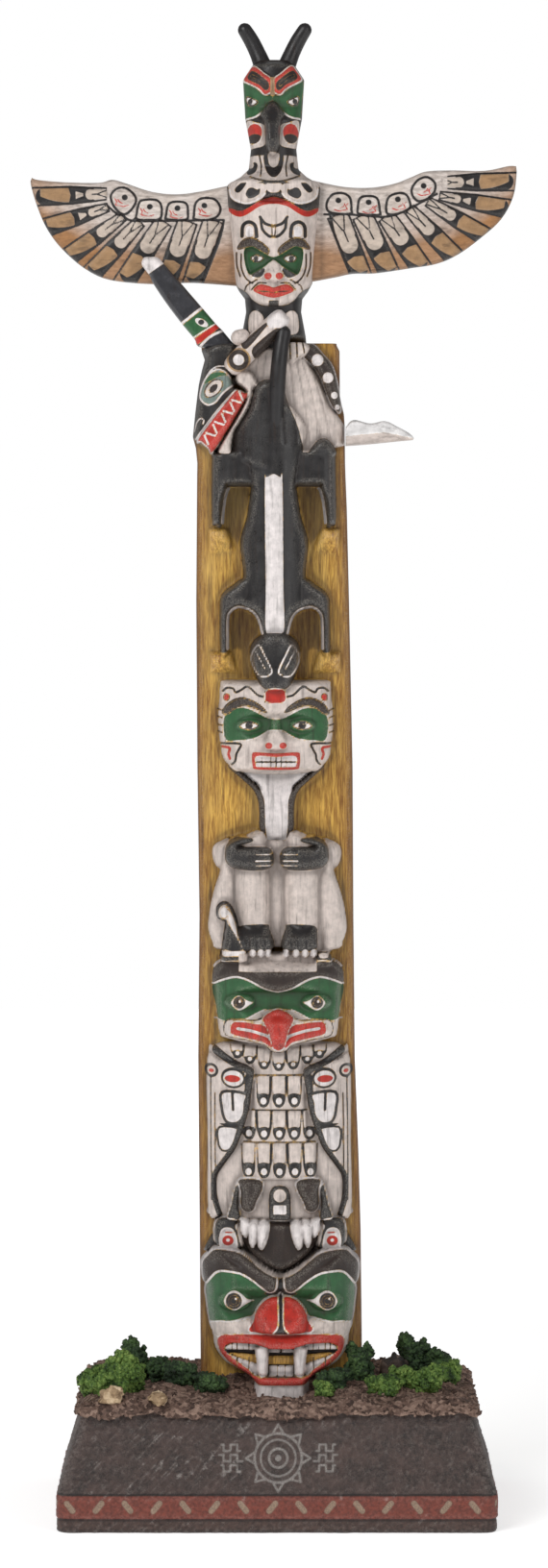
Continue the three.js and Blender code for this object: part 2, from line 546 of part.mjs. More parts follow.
function base(grown = 0) {
  const levels = [0, BASE.footHeight, BASE.height - BASE.topEdge, BASE.height];
  const geometry = new THREE.ExtrudeGeometry(
    rectangle(BASE.width + 2 * grown, BASE.depth + 2 * grown, BASE.corner),
    { depth: levels.length - 1, steps: levels.length - 1, bevelEnabled: false, curveSegments: 3 });
  const place = geometry.attributes.position;
  for (let i = 0; i < place.count; i += 1) {
    const level = Math.round(place.getZ(i));
    const z = levels[level];
    const taper = baseTaper(z);
    place.setXYZ(i, place.getX(i) * taper.x, place.getY(i) * taper.y,
      z + (level === levels.length - 1 ? grown : 0));
  }
  return solid(geometry);
}

// Height of the soil's surface: highest round the pole, uneven, sinking to the rim
function soilHeight(x, y) {
  const rim = Math.max(Math.abs(x) / (BASE.topWidth / 2), Math.abs(y) / (BASE.topDepth / 2));
  const mound = SOIL.thickness * (1 - 0.55 * rim ** 3);
  const lumps = 0.5 * Math.sin(x * 0.31 + 1) * Math.cos(y * 0.37) + 0.35 * Math.sin(x * 0.13 - y * 0.21);
  return BASE.height + GAP + mound + lumps;
}

function soilLayer(grown = 0) {
  const positions = [];
  const index = [];
  const floor = BASE.height - SOIL.drop;
  SOIL.rings.forEach((ringShare, ring) => {
    for (let s = 0; s < SOIL.sectors; s += 1) {
      const angle = (s / SOIL.sectors) * 2 * Math.PI;
      const wander = 1 + 0.012 * Math.sin(5 * angle + 1) + 0.014 * Math.sin(11 * angle);
      const reach = Math.min(1 / Math.abs(Math.cos(angle)), 1 / Math.abs(Math.sin(angle))) ** 0.82;
      const share = ringShare * reach * wander;
      const x = share * (BASE.topWidth / 2 + SOIL.overhang + grown);
      const y = share * (BASE.topDepth / 2 + SOIL.overhang + grown);
      const rimDrop = ringShare === 1 ? SOIL.drop * 0.7 : 0;
      positions.push(x * Math.cos(angle), y * Math.sin(angle),
        soilHeight(x * Math.cos(angle), y * Math.sin(angle)) - rimDrop + grown);
    }
  });
  const rimStart = positions.length / 3;
  for (let s = 0; s < SOIL.sectors; s += 1) {
    const top = (rimStart - SOIL.sectors + s) * 3;
    positions.push(positions[top], positions[top + 1], floor - grown);
  }
  const below = positions.length / 3;
  positions.push(0, 0, floor - grown);
  const rows = SOIL.rings.length;
  for (let ring = 0; ring < rows; ring += 1) {
    for (let s = 0; s < SOIL.sectors; s += 1) {
      const next = (s + 1) % SOIL.sectors;
      const a = ring * SOIL.sectors + s;
      const b = ring * SOIL.sectors + next;
      const c = a + SOIL.sectors;
      const d = b + SOIL.sectors;
      if (ring > 0) index.push(a, c, b);
      if (ring > 0) index.push(b, c, d);
      if (ring === 0) index.push(0, c, d);
    }
  }
  for (let s = 0; s < SOIL.sectors; s += 1) {
    index.push(below, rimStart + ((s + 1) % SOIL.sectors), rimStart + s);
  }
  // Every point of the innermost ring is the same middle point
  const geometry = new THREE.BufferGeometry();
  geometry.setAttribute('position', new THREE.Float32BufferAttribute(positions, 3));
  geometry.setIndex(index);
  return solid(geometry);
}

// A knobbly lump: an icosahedron pushed in and out by a few waves
function lump(centre, radii, waves, detail) {
  const round = new THREE.IcosahedronGeometry(1, detail);
  round.deleteAttribute('normal');
  round.deleteAttribute('uv');
  const geometry = mergeVertices(round, 1e-4);
  geometry.rotateX(0.55);
  const place = geometry.attributes.position;
  const point = new THREE.Vector3();
  for (let i = 0; i < place.count; i += 1) {
    point.fromBufferAttribute(place, i);
    const swell = 1 + 0.1 * Math.sin(waves * point.x + 2) * Math.cos(waves * point.y) + 0.05 * Math.sin(7 * point.z);
    point.multiplyScalar(swell);
    place.setXYZ(i, centre[0] + radii[0] * point.x, centre[1] + radii[1] * point.y,
      centre[2] + radii[2] * point.z);
  }
  return solid(geometry);
}

// name, middle (x, y), half sizes (x, y, z), waviness, colour
const CLUMPS = [
  ['moss_left', [-44.5, -26], [9.6, 8, 8.2], 4, COLOURS.moss],
  ['moss_left_back', [-38.5, -6], [4.4, 5, 9.4], 5, COLOURS.darkMoss],
  ['moss_left_of_pole', [-26.6, -14], [6.2, 6, 6], 6, COLOURS.darkMoss],
  ['moss_right_of_pole', [25.4, -15], [4.6, 5, 8.4], 5, COLOURS.darkMoss],
  ['moss_right_front', [28.4, -28], [5, 4.4, 5.4], 4, COLOURS.moss],
  ['moss_right_middle', [40, -24], [5, 5, 6], 6, COLOURS.moss],
  ['moss_right_back', [39.8, 4], [5.4, 5, 9.4], 5, COLOURS.darkMoss],
  ['moss_right_edge', [46, -8], [4, 6, 5.6], 4, COLOURS.moss],
  ['moss_behind', [-8, 27], [9, 5, 5.4], 5, COLOURS.darkMoss],
];
const STONES = [
  ['stone_left', [-43.6, -36.8], [3.4, 2.6, 2.6], 3, COLOURS.stone],
  ['stone_left_small', [-31.4, -36.6], [2.4, 2.1, 2.1], 5, COLOURS.stone],
  ['stone_right_dark', [31.6, -3.4], [3.6, 3.2, 5.4], 3, COLOURS.darkStone],
];

// ---------------------------------------------------------------- assembly
const totem = new THREE.Group();

function geometryOf(manifold) {
  const mesh = manifold.getMesh();
  const geometry = new THREE.BufferGeometry();
  geometry.setAttribute('position', new THREE.Float32BufferAttribute(mesh.vertProperties, 3));
  geometry.setIndex(Array.from(mesh.triVerts));
  return geometry;
}

function addPiece(name, geometry, colour, roughness = 0.6) {
  const mesh = new THREE.Mesh(geometry, new THREE.MeshStandardMaterial({ color: colour, roughness, metalness: 0 }));
  mesh.name = name;
  totem.add(mesh);
}

const poleGeometry = leaned(geometryOf(pole()));
const keepClear = solid(poleGeometry);
const soil = soilLayer().subtract(base(GAP)).subtract(clearance());

// What the soil and the clumps stay clear of: the pole's foot, a little larger
function clearance() {
  const foot = new THREE.ExtrudeGeometry(outlineShape(twoSided(
    [[0, -25.4], [9, -24.6], [16, -20], [22.6, -8], [22.6, 12], [18, 15], [0, 15]])), { depth: 60, bevelEnabled: false });
  foot.translate(0.4, 0, BASE.height - 8);
  return solid(foot);
}

addPiece('base', geometryOf(base()), COLOURS.slate, 0.55);
addPiece('soil', geometryOf(soil), COLOURS.soil, 0.95);
addPiece('pole', poleGeometry, COLOURS.cream, 0.5);
for (const placed of WING_SIDES) {
  addPiece(placed.name, leaned(geometryOf(wing(placed))), COLOURS.wing, 0.5);
}
addPiece('dorsal_fin', geometryOf(dorsalFin().subtract(keepClear)), COLOURS.black, 0.35);
addPiece('side_fin', leaned(geometryOf(sideFin())), COLOURS.white, 0.4);

const ground = soilLayer(GAP).add(base(GAP)).add(clearance());

function addLumps(lumps, detail) {
  for (const [name, [x, y], radii, waves, colour] of lumps) {
    const bed = soilHeight(x, y) + radii[2] * 0.35;
    addPiece(name, geometryOf(lump([x, y, bed], radii, waves, detail).subtract(ground)), colour, 0.95);
  }
}

addLumps(CLUMPS, 1);
addLumps(STONES, 0);

export default totem;
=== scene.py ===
"""A small carved and painted totem pole on a slate base, standing in a bed of soil and foliage.

The figures are relief faces: a grid of heights over the front of the log, lifted, sunk and painted
with outlines in millimetres. u runs across from the log's middle line, v is the height, and an outline
is a list of pairs of them, or of u and v in turn.
"""
import math

import bpy
import numpy as np
from bpy.props import FloatProperty, FloatVectorProperty, IntProperty, PointerProperty
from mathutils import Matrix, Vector


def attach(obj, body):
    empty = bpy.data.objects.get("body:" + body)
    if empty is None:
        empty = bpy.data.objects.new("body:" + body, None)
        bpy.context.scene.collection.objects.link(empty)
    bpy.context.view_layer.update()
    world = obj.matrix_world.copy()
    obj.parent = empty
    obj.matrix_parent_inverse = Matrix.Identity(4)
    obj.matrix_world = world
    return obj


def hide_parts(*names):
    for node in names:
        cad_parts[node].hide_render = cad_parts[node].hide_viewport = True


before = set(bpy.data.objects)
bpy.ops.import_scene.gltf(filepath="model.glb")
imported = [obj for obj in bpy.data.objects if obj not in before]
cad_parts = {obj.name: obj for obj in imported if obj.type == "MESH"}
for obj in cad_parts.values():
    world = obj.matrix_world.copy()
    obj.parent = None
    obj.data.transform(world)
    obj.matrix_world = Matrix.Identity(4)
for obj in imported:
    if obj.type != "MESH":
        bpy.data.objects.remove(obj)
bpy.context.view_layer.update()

bl_info = {
    "name": "Painted Totem Pole",
    "version": (1, 0, 0),
    "blender": (4, 5, 0),
    "location": "3D View > Sidebar > Totem",
    "description": "Builds a small painted totem pole on a slate base with soil and foliage",
    "category": "Add Mesh",
}

MM = 0.001
FAR = 9.0  # mm, kept where a colour is nowhere near
COVERED = -2.0  # mm, kept where a colour covers everything
PAINTS = ("cream", "white", "black", "brown", "green", "red", "teal", "tan")


def light(red, green, blue):
    """The linear colour of a paint given in 0 to 255 steps."""
    return tuple(((c / 255 + 0.055) / 1.055) ** 2.4 if c > 10 else c / 3294 for c in (red, green, blue))


# ---------------------------------------------------------------- drawn shapes
def densify(points, closed, steps=4):
    """A smooth line through the points."""
    points = np.array(points, float)
    count = len(points)
    out = []
    last = count if closed else count - 1
    for i in range(last):
        if closed:
            before, start, end, after = (points[(i + k) % count] for k in (-1, 0, 1, 2))
        else:
            before, start, end, after = (points[min(max(i + k, 0), count - 1)] for k in (-1, 0, 1, 2))
        for step in range(steps):
            t = step / steps
            out.append(0.5 * (2 * start + (end - before) * t + (2 * before - 5 * start + 4 * end - after) * t ** 2
                              + (3 * start - before - 3 * end + after) * t ** 3))
    if not closed:
        out.append(points[-1])
    return np.array(out)


def edge_distance(points, u, v, closed, inside_too):
    """Distance to a chain of straight edges, negative inside where the chain is closed."""
    best = np.full(u.shape, 1e9)
    inside = np.zeros(u.shape, bool)
    ends = np.roll(points, -1, axis=0) if closed else points[1:]
    for (ax, ay), (bx, by) in zip(points, ends):
        ex, ey = bx - ax, by - ay
        length = ex * ex + ey * ey
        if length < 1e-12:
            continue
        t = np.clip(((u - ax) * ex + (v - ay) * ey) / length, 0, 1)
        best = np.minimum(best, (u - ax - ex * t) ** 2 + (v - ay - ey * t) ** 2)
        if inside_too and by != ay:
            inside ^= ((ay > v) != (by > v)) & (u < ax + (v - ay) * ex / ey)
    best = np.sqrt(best)
    return np.where(inside, -best, best) if inside_too else best


class Shape:
    """An area drawn on a face: its signed distance in mm, negative inside, and the heights it spans."""

    def __init__(self, low, high, distance):
        self.low, self.high, self.distance = low, high, distance

    def line(self, width):
        return Shape(self.low - width, self.high + width, lambda u, v: np.abs(self.distance(u, v)) - width / 2)

    def grown(self, by):
        return Shape(self.low - max(by, 0), self.high + max(by, 0), lambda u, v: self.distance(u, v) - by)

    def without(self, other):
        return Shape(self.low, self.high, lambda u, v: np.maximum(self.distance(u, v), -other.distance(u, v)))

    def joined(self, other):
        return Shape(min(self.low, other.low), max(self.high, other.high),
                     lambda u, v: np.minimum(self.distance(u, v), other.distance(u, v)))


def as_pairs(points):
    """Places on a face, given as pairs or as u and v in turn."""
    return np.reshape(np.array(points, float), (-1, 2))


def loop(points, sharp=False):
    """A closed outline."""
    chain = as_pairs(points) if sharp else densify(as_pairs(points), True)
    return Shape(chain[:, 1].min(), chain[:, 1].max(), lambda u, v: edge_distance(chain, u, v, True, True))


def pair(points, sharp=False):
    """A closed outline and its mirror image, neither touching the middle line."""
    one = loop(points, sharp)
    return Shape(one.low, one.high, lambda u, v: one.distance(np.abs(u), v))


def both(points):
    """One outline across the middle line, from the points of its right half."""
    half = as_pairs(points).tolist()
    return loop(half + [(-u, v) for u, v in reversed(half) if u > 0.01])


def stroke(points, width, sharp=False):
    """A painted or cut line."""
    chain = as_pairs(points)
    if not sharp and len(chain) > 2:
        chain = densify(chain, False)
    return Shape(chain[:, 1].min() - width / 2, chain[:, 1].max() + width / 2,
                 lambda u, v: edge_distance(chain, u, v, False, False) - width / 2)


def pair_stroke(points, width):
    one = stroke(points, width)
    return Shape(one.low, one.high, lambda u, v: one.distance(np.abs(u), v))


def oval(u0, v0, across, up, turn=0.0):
    """An ellipse, its long axis turned by some degrees."""
    c, s = math.cos(math.radians(turn)), math.sin(math.radians(turn))
    reach = max(across, up)

    def distance(u, v):
        p, q = (u - u0) * c + (v - v0) * s, (v - v0) * c - (u - u0) * s
        far = np.sqrt((p / across) ** 2 + (q / up) ** 2) + 1e-9
        steep = np.sqrt((p / across ** 2) ** 2 + (q / up ** 2) ** 2) + 1e-9
        return np.where(far < 0.3, (far - 1) * min(across, up), far * (far - 1) / steep)
    return Shape(v0 - reach, v0 + reach, distance)


def pair_oval(u0, v0, across, up, turn=0.0):
    one = oval(u0, v0, across, up, turn)
    return Shape(one.low, one.high, lambda u, v: one.distance(np.abs(u), v))


def bar(low, high, reach, middle=0.0):
    """An upright rectangle."""
    return Shape(low, high, lambda u, v: np.maximum(np.abs(u - middle) - reach,
                                                    np.maximum(low - v, v - high)))


def drum(offset, reach, half, middle=0.0):
    """The depth of a round column."""
    return lambda u, v: offset + reach * np.sqrt(np.clip(1 - ((u - middle) / half) ** 2, 0, 1))


def profile(steps):
    """A depth that changes with height."""
    heights, depths = zip(*steps)
    return lambda u, v: np.interp(v, heights, depths) + 0 * u


def lowest(*depths):
    return lambda u, v: np.minimum.reduce([depth(u, v) for depth in depths])


def rise(distance, edge):
    """From 0 at an outline to 1 at some way inside it, rounded over."""
    return np.sqrt(1 - (1 - np.clip(-distance / edge, 0, 1)) ** 2)


def blurred(values, reach):
    """A moving average over the rows and columns."""
    for axis in (0, 1):
        if values.shape[axis] <= 2 * reach + 1:
            continue
        pad = [(0, 0), (0, 0)]
        pad[axis] = (reach + 1, reach)
        total = np.cumsum(np.pad(values, pad, mode="edge"), axis=axis)
        ahead = np.take(total, range(2 * reach + 1, total.shape[axis]), axis=axis)
        behind = np.take(total, range(0, total.shape[axis] - 2 * reach - 1), axis=axis)
        values = (ahead - behind) / (2 * reach + 1)
    return values


def lattice_noise(seed, *places):
    """Smooth noise from -1 to 1 at places given in cells."""
    places = np.broadcast_arrays(*places)
    shape = places[0].shape
    cells = [np.floor(p).astype(np.int64) for p in places]
    parts = [p - c for p, c in zip(places, cells)]
    parts = [t * t * (3 - 2 * t) for t in parts]
    total = np.zeros(shape)
    for corner in range(2 ** len(places)):
        weight = np.ones(shape)
        key = np.full(shape, seed * 374761393, np.int64)
        for axis, (cell, part) in enumerate(zip(cells, parts)):
            bit = corner >> axis & 1
            weight = weight * (part if bit else 1 - part)
            key = key + (cell + bit) * (668265263, 2147483647, 1274126177)[axis]
        key = (key ^ (key >> 13)) * 1274126177
        key = (key ^ (key >> 16)) & 0xFFFF
        total += weight * (key / 32767.5 - 1)
    return total


class Face:
    """A relief: the depth and the paint over a grid of places on a piece."""

    def __init__(self, u, v, depth, heights=None):
        self.u, self.v, self.depth, self.heights = u, v, np.array(depth, float), heights
        self.paint = {name: np.full(u.shape, FAR) for name in PAINTS}
        self.shade = np.zeros(u.shape)
        self.tone = np.zeros(u.shape)

    def rows(self, shape, reach=0.0):
        if self.heights is None:
            return slice(None)
        return slice(*np.searchsorted(self.heights, (shape.low - reach, shape.high + reach)))

    def near(self, shape, reach=0.0):
        """The rows the shape spans, and their places' distance from it."""
        rows = self.rows(shape, reach)
        return rows, shape.distance(self.u[rows], self.v[rows])

    def toward(self, shape, aim, edge):
        """The rows the shape spans, a depth there and how much of it counts."""
        rows, distance = self.near(shape)
        depth = aim(self.u[rows], self.v[rows]) if callable(aim) else aim
        return rows, depth, rise(distance, edge)

    def lift(self, shape, top, edge=1.0):
        """Brings the shape forward to a depth, rounded over at its outline."""
        rows, aim, share = self.toward(shape, top, edge)
        self.depth[rows] += np.maximum(aim - self.depth[rows], 0) * share

    def sink(self, shape, floor, edge=0.7):
        """Cuts the shape back to a depth."""
        rows, aim, share = self.toward(shape, floor, edge)
        self.depth[rows] -= np.maximum(self.depth[rows] - aim, 0) * share

    def press(self, shape, by, edge=0.5):
        """Cuts the shape in by a little, or raises it where by is negative."""
        rows, distance = self.near(shape)
        self.depth[rows] -= by * rise(distance, edge)

    def colour(self, name, shape, cut=0.1):
        rows, distance = self.near(shape, 1.2)
        for other, field in self.paint.items():
            field[rows] = np.minimum(field[rows], distance) if other == name else np.maximum(field[rows], -distance)
        if cut:
            self.depth[rows] -= cut * rise(distance, 0.35)

    def bare(self, shape):
        """Takes the paint off down to the wood."""
        rows, distance = self.near(shape, 1.2)
        for field in self.paint.values():
            field[rows] = np.maximum(field[rows], -distance)

    # Painted shade: darkens the colour over the shape, softly from its outline inwards.
    def darken(self, shape, amount=0.6, soft=0.8):
        rows, distance = self.near(shape)
        self.shade[rows] = np.maximum(self.shade[rows], amount * np.clip(-distance / soft, 0, 1))

    def mould(self, name, shape, top, edge=1.0, line_name=None, width=0.5):
        """Brings the shape forward to a depth and paints it, with a line round it if asked."""
        self.lift(shape, top, edge)
        self.painted(name, shape, line_name, width)

    def pad(self, name, shape, by, edge, line_name=None, width=0.5):
        """Raises the shape by a little and paints it, with a line round it if asked."""
        self.press(shape, -by, edge)
        self.painted(name, shape, line_name, width)

    def painted(self, name, shape, line_name, width):
        if line_name:
            self.edged(name, shape, line_name, width)
        else:
            self.colour(name, shape, 0)

    def edged(self, name, shape, line_name="white", width=0.5, cut=0.0, raised=0.25):
        """An area of one colour with a painted line round it."""
        self.colour(name, shape, cut)
        ring = shape.line(width)
        self.colour(line_name, ring, 0)
        if raised:
            self.press(ring, -raised, width / 2)

    def marks(self, behind=None, plain=None):
        """What the finish reads at each place: paint, painted shade, hollows that get painted shade, and ridges that
        get wear and a painted highlight.

        Places behind the face, if there are any, have one plain paint or none.
        """
        change = self.depth - blurred(blurred(self.depth, 2), 2)
        wide = self.depth - blurred(blurred(self.depth, 6), 5)
        out = {"paint_" + name: field for name, field in self.paint.items()}
        out["shade"], out["tone"] = self.shade, self.tone
        # Hollows are where the surface dips below its surroundings, later darkened as painted shade; ridges stand above
        # it, later lightened as wear and painted highlight.
        out["hollow"] = np.clip(-change / 0.5, 0, 1) * 0.7 + np.clip(-wide / 2.4, 0, 1) * 0.6
        out["ridge"] = np.clip(change / 0.35, 0, 1)
        if behind:
            for name, values in out.items():
                fill = FAR if name.startswith("paint_") else 0.0
                if plain and name == "paint_" + plain:
                    fill = COVERED
                out[name] = np.hstack([values, np.full(behind, fill)])
        return out


# ---------------------------------------------------------------- closed meshes
class Piece:
    """Closed shells gathered into one mesh, with what the finish reads at each corner."""

    def __init__(self):
        self.points, self.faces, self.marks, self.count = [], [], {}, 0

    def _keep(self, points, faces, marks):
        start = self.count
        self.points.append(points)
        self.faces += faces
        self.count += len(points)
        for name, values in marks.items():
            self.marks.setdefault(name, []).append((start, values))

    def shell(self, rings, marks=None):
        """Adds rings of places in mm, each joined to the next, with both ends closed."""
        rows, around = rings.shape[:2]
        grid = np.arange(rows * around).reshape(rows, around)
        ahead = np.roll(grid, -1, axis=1)
        quads = np.stack([grid[:-1], ahead[:-1], ahead[1:], grid[1:]], axis=-1).reshape(-1, 4)
        first, last = rows * around, rows * around + 1
        faces = quads.tolist()
        faces += [[first, b, a] for a, b in zip(grid[0].tolist(), ahead[0].tolist())]
        faces += [[last, a, b] for a, b in zip(grid[-1].tolist(), ahead[-1].tolist())]
        places = np.vstack([rings.reshape(-1, 3), rings[0].mean(axis=0), rings[-1].mean(axis=0)])
        a, b, c, d = (places[quads[:, k]] for k in range(4))
        turned = (np.einsum("ij,ij->i", a, np.cross(b, c)) + np.einsum("ij,ij->i", a, np.cross(c, d))).sum() < 0
        faces = [[k + self.count for k in (reversed(face) if turned else face)] for face in faces]
        flat = {}
        for name, values in (marks or {}).items():
            flat[name] = np.concatenate([values.ravel(), [values[0].mean(), values[-1].mean()]])
        self._keep(places, faces, flat)

    def mesh(self, name):
        mesh = bpy.data.meshes.new(name)
        mesh.from_pydata((np.vstack(self.points) * MM).tolist(), [], self.faces)
        for label, parts in self.marks.items():
            values = np.full(self.count, FAR if label.startswith("paint_") else 0.0)
            for start, part in parts:
                values[start:start + len(part)] = part
            mesh.attributes.new(label, "FLOAT", "POINT").data.foreach_set("value", values)
        mesh.polygons.foreach_set("use_smooth", [True] * len(mesh.polygons))
        mesh.update()
        return mesh


def settle(node, shape, finish):
    """Puts a finished piece or mesh in the scene, in place of its plain solid."""
    mesh = shape.mesh(node) if isinstance(shape, Piece) else shape
    piece = bpy.data.objects.new(node + "_dressed", mesh)
    bpy.context.scene.collection.objects.link(piece)
    mesh.materials.clear()
    mesh.materials.append(finish)
    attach(piece, "root")
    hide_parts(node)


def tube(path, radii, around):
    """Rings round a path, with rounded ends."""
    path = np.array(path, float)
    radii = np.broadcast_to(np.array(radii, float), (len(path),))
    line = densify(path, False, 5)
    size = np.interp(np.linspace(0, 1, len(line)), np.linspace(0, 1, len(path)), radii)
    ahead = np.gradient(line, axis=0)
    ahead /= np.linalg.norm(ahead, axis=1)[:, None]
    places, sizes, ways = [], [], []
    for angle in (82, 60, 35, 15):
        a = math.radians(angle)
        places.append(line[0] - ahead[0] * size[0] * math.sin(a))
        sizes.append(size[0] * math.cos(a))
        ways.append(ahead[0])
    places += list(line)
    sizes += list(size)
    ways += list(ahead)
    for angle in (15, 35, 60, 82):
        a = math.radians(angle)
        places.append(line[-1] + ahead[-1] * size[-1] * math.sin(a))
        sizes.append(size[-1] * math.cos(a))
        ways.append(ahead[-1])
    turn = np.linspace(0, 2 * math.pi, around, endpoint=False)
    rings = []
    for place, radius, way in zip(places, sizes, ways):
        side = np.cross(way, (0.0, 1.0, 0.0))
        side /= np.linalg.norm(side)
        out = np.cross(side, way)
        rings.append(place + radius * (np.cos(turn)[:, None] * side + np.sin(turn)[:, None] * out))
    return np.array(rings)


def even_marks(rings, paint):
    """One paint all over a shell."""
    shape = rings.shape[:2]
    marks = {"paint_" + name: np.full(shape, COVERED if name == paint else -COVERED) for name in PAINTS}
    marks["shade"] = np.zeros(shape)
    return marks


def plate(upper, lower, front, back, stations, across, behind, soft):
    """The grid of a flat carving between two edges: its face, and a function that closes it with a back.

    Each edge is a line of places from root to tip. Front and back are depths towards the viewer.
    """
    def spaced(line):
        line = densify(line, False, 8)
        run = np.concatenate([[0], np.cumsum(np.linalg.norm(np.diff(line, axis=0), axis=1))])
        at = np.linspace(0, 1, stations) * run[-1]
        return np.stack([np.interp(at, run, line[:, k]) for k in (0, 1)], axis=1)
    top, bottom = spaced(upper), spaced(lower)
    width = np.linalg.norm(top - bottom, axis=1)
    front = np.interp(np.linspace(0, 1, stations), np.linspace(0, 1, len(front)), front)
    back = np.interp(np.linspace(0, 1, stations), np.linspace(0, 1, len(back)), back)
    middle = (front + back) / 2
    ends = np.linalg.norm(np.diff((top + bottom) / 2, axis=0), axis=1)
    from_tip = np.concatenate([np.cumsum(ends[::-1])[::-1], [0.05]])

    def layer(count, face):
        share = np.linspace(0, 1, count)
        share = (share + 2 * (1 - np.cos(math.pi * share)) / 2) / 3
        place = top[:, None] + (bottom - top)[:, None] * share[None, :, None]
        edge = np.minimum(np.minimum(share, 1 - share)[None, :] * width[:, None], from_tip[:, None])
        return place, middle[:, None] + (face - middle)[:, None] * rise(-edge, soft)
    place, depth = layer(across, front)
    face = Face(place[..., 0], place[..., 1], depth)

    def close(piece, plain=None):
        rear, rear_depth = layer(behind, back)
        rear, rear_depth = rear[:, -2:0:-1], rear_depth[:, -2:0:-1]
        u = np.hstack([face.u, rear[..., 0]])
        v = np.hstack([face.v, rear[..., 1]])
        depth_all = np.hstack([face.depth, rear_depth])
        piece.shell(np.stack([u, -depth_all, v], axis=-1), face.marks(rear_depth.shape, plain))
    return face, close


# ---------------------------------------------------------------- finishes
class Value:
    """A shader socket that takes sums, differences and products."""

    def __init__(self, finish, socket):
        self.finish, self.socket = finish, socket

    def _math(self, operation, *values):
        return self.finish.node("Math", {"operation": operation}, dict(enumerate(values)))

    def __add__(self, other):
        return self._math("ADD", self, other)

    def __radd__(self, other):
        return self._math("ADD", other, self)

    def __sub__(self, other):
        return self._math("SUBTRACT", self, other)

    def __rsub__(self, other):
        return self._math("SUBTRACT", other, self)

    def __mul__(self, other):
        return self._math("MULTIPLY", self, other)

    def __rmul__(self, other):
        return self._math("MULTIPLY", other, self)

    def __truediv__(self, other):
        return self._math("DIVIDE", self, other)

    def limit(self):
        return self.finish.node("Clamp", {}, {"Value": self})

    def at_least(self, other):
        return self._math("MAXIMUM", self, other)


class Finish:
    """A material's nodes."""

    def __init__(self, name):
        self.material = bpy.data.materials.new(name)
        self.material.use_nodes = True
        self.tree = self.material.node_tree
        self.tree.nodes.clear()

    def node(self, kind, settings=None, inputs=None, output=0):
        """Adds a node: first its settings, a ramp's stops among them, then its inputs."""
        node = self.tree.nodes.new("ShaderNode" + kind)
        for key, value in (settings or {}).items():
            if key == "stops":
                for index, (place, colour) in enumerate(value):
                    stop = node.color_ramp.elements[index] if index < 2 else node.color_ramp.elements.new(place)
                    stop.position, stop.color = place, (*colour, 1) if len(colour) == 3 else colour
            else:
                setattr(node, key, value)
        for key, value in (inputs or {}).items():
            if isinstance(value, Value):
                self.tree.links.new(value.socket, node.inputs[key])
            else:
                if isinstance(value, tuple) and len(value) == 3 and node.inputs[key].type == "RGBA":
                    value = (*value, 1)
                node.inputs[key].default_value = value
        return Value(self, node.outputs[output])

    def place(self, stretch=(1, 1, 1)):
        """Where a point is on the piece, in metres, stretched if asked."""
        spot = self.node("TexCoord", output="Object")
        return self.node("Mapping", {}, {"Vector": spot, "Scale": stretch}) if stretch != (1, 1, 1) else spot

    def noise(self, size, detail=3.0, roughness=0.55, stretch=(1, 1, 1), distortion=0.0):
        """Noise whose blobs are about so many mm across."""
        return self.node("TexNoise", {}, {"Vector": self.place(stretch), "Scale": 1 / (size * MM), "Detail": detail,
                                          "Roughness": roughness, "Distortion": distortion})

    def spread(self, value, low, high, to_low=0.0, to_high=1.0):
        return self.node("MapRange", {}, {"Value": value, 1: low, 2: high, 3: to_low, 4: to_high})

    def mark(self, name):
        return self.node("Attribute", {"attribute_name": name}, output="Fac")

    def mix(self, factor, a, b, blend="MIX"):
        return self.node("Mix", {"data_type": "RGBA", "blend_type": blend, "clamp_factor": True},
                         {0: factor, 6: a, 7: b}, 2)

    def shadow(self, colour, factor):
        """The colour multiplied by a grey that varies."""
        grey = self.node("CombineColor", {}, {0: factor, 1: factor, 2: factor})
        return self.mix(1.0, colour, grey, "MULTIPLY")

    def bump(self, height, distance, strength=1.0, after=None):
        inputs = {"Height": height, "Distance": distance * MM, "Strength": strength}
        if after:
            inputs["Normal"] = after
        return self.node("Bump", {}, inputs)

    def surface(self, colour, roughness, normal=None, **constants):
        inputs = {"Base Color": colour, "Roughness": roughness}
        if normal:
            inputs["Normal"] = normal
        for key, value in constants.items():
            inputs[key.replace("_", " ")] = value
        shader = self.node("BsdfPrincipled", {}, inputs)
        end = self.tree.nodes.new("ShaderNodeOutputMaterial")
        self.tree.links.new(shader.socket, end.inputs["Surface"])
        return self.material


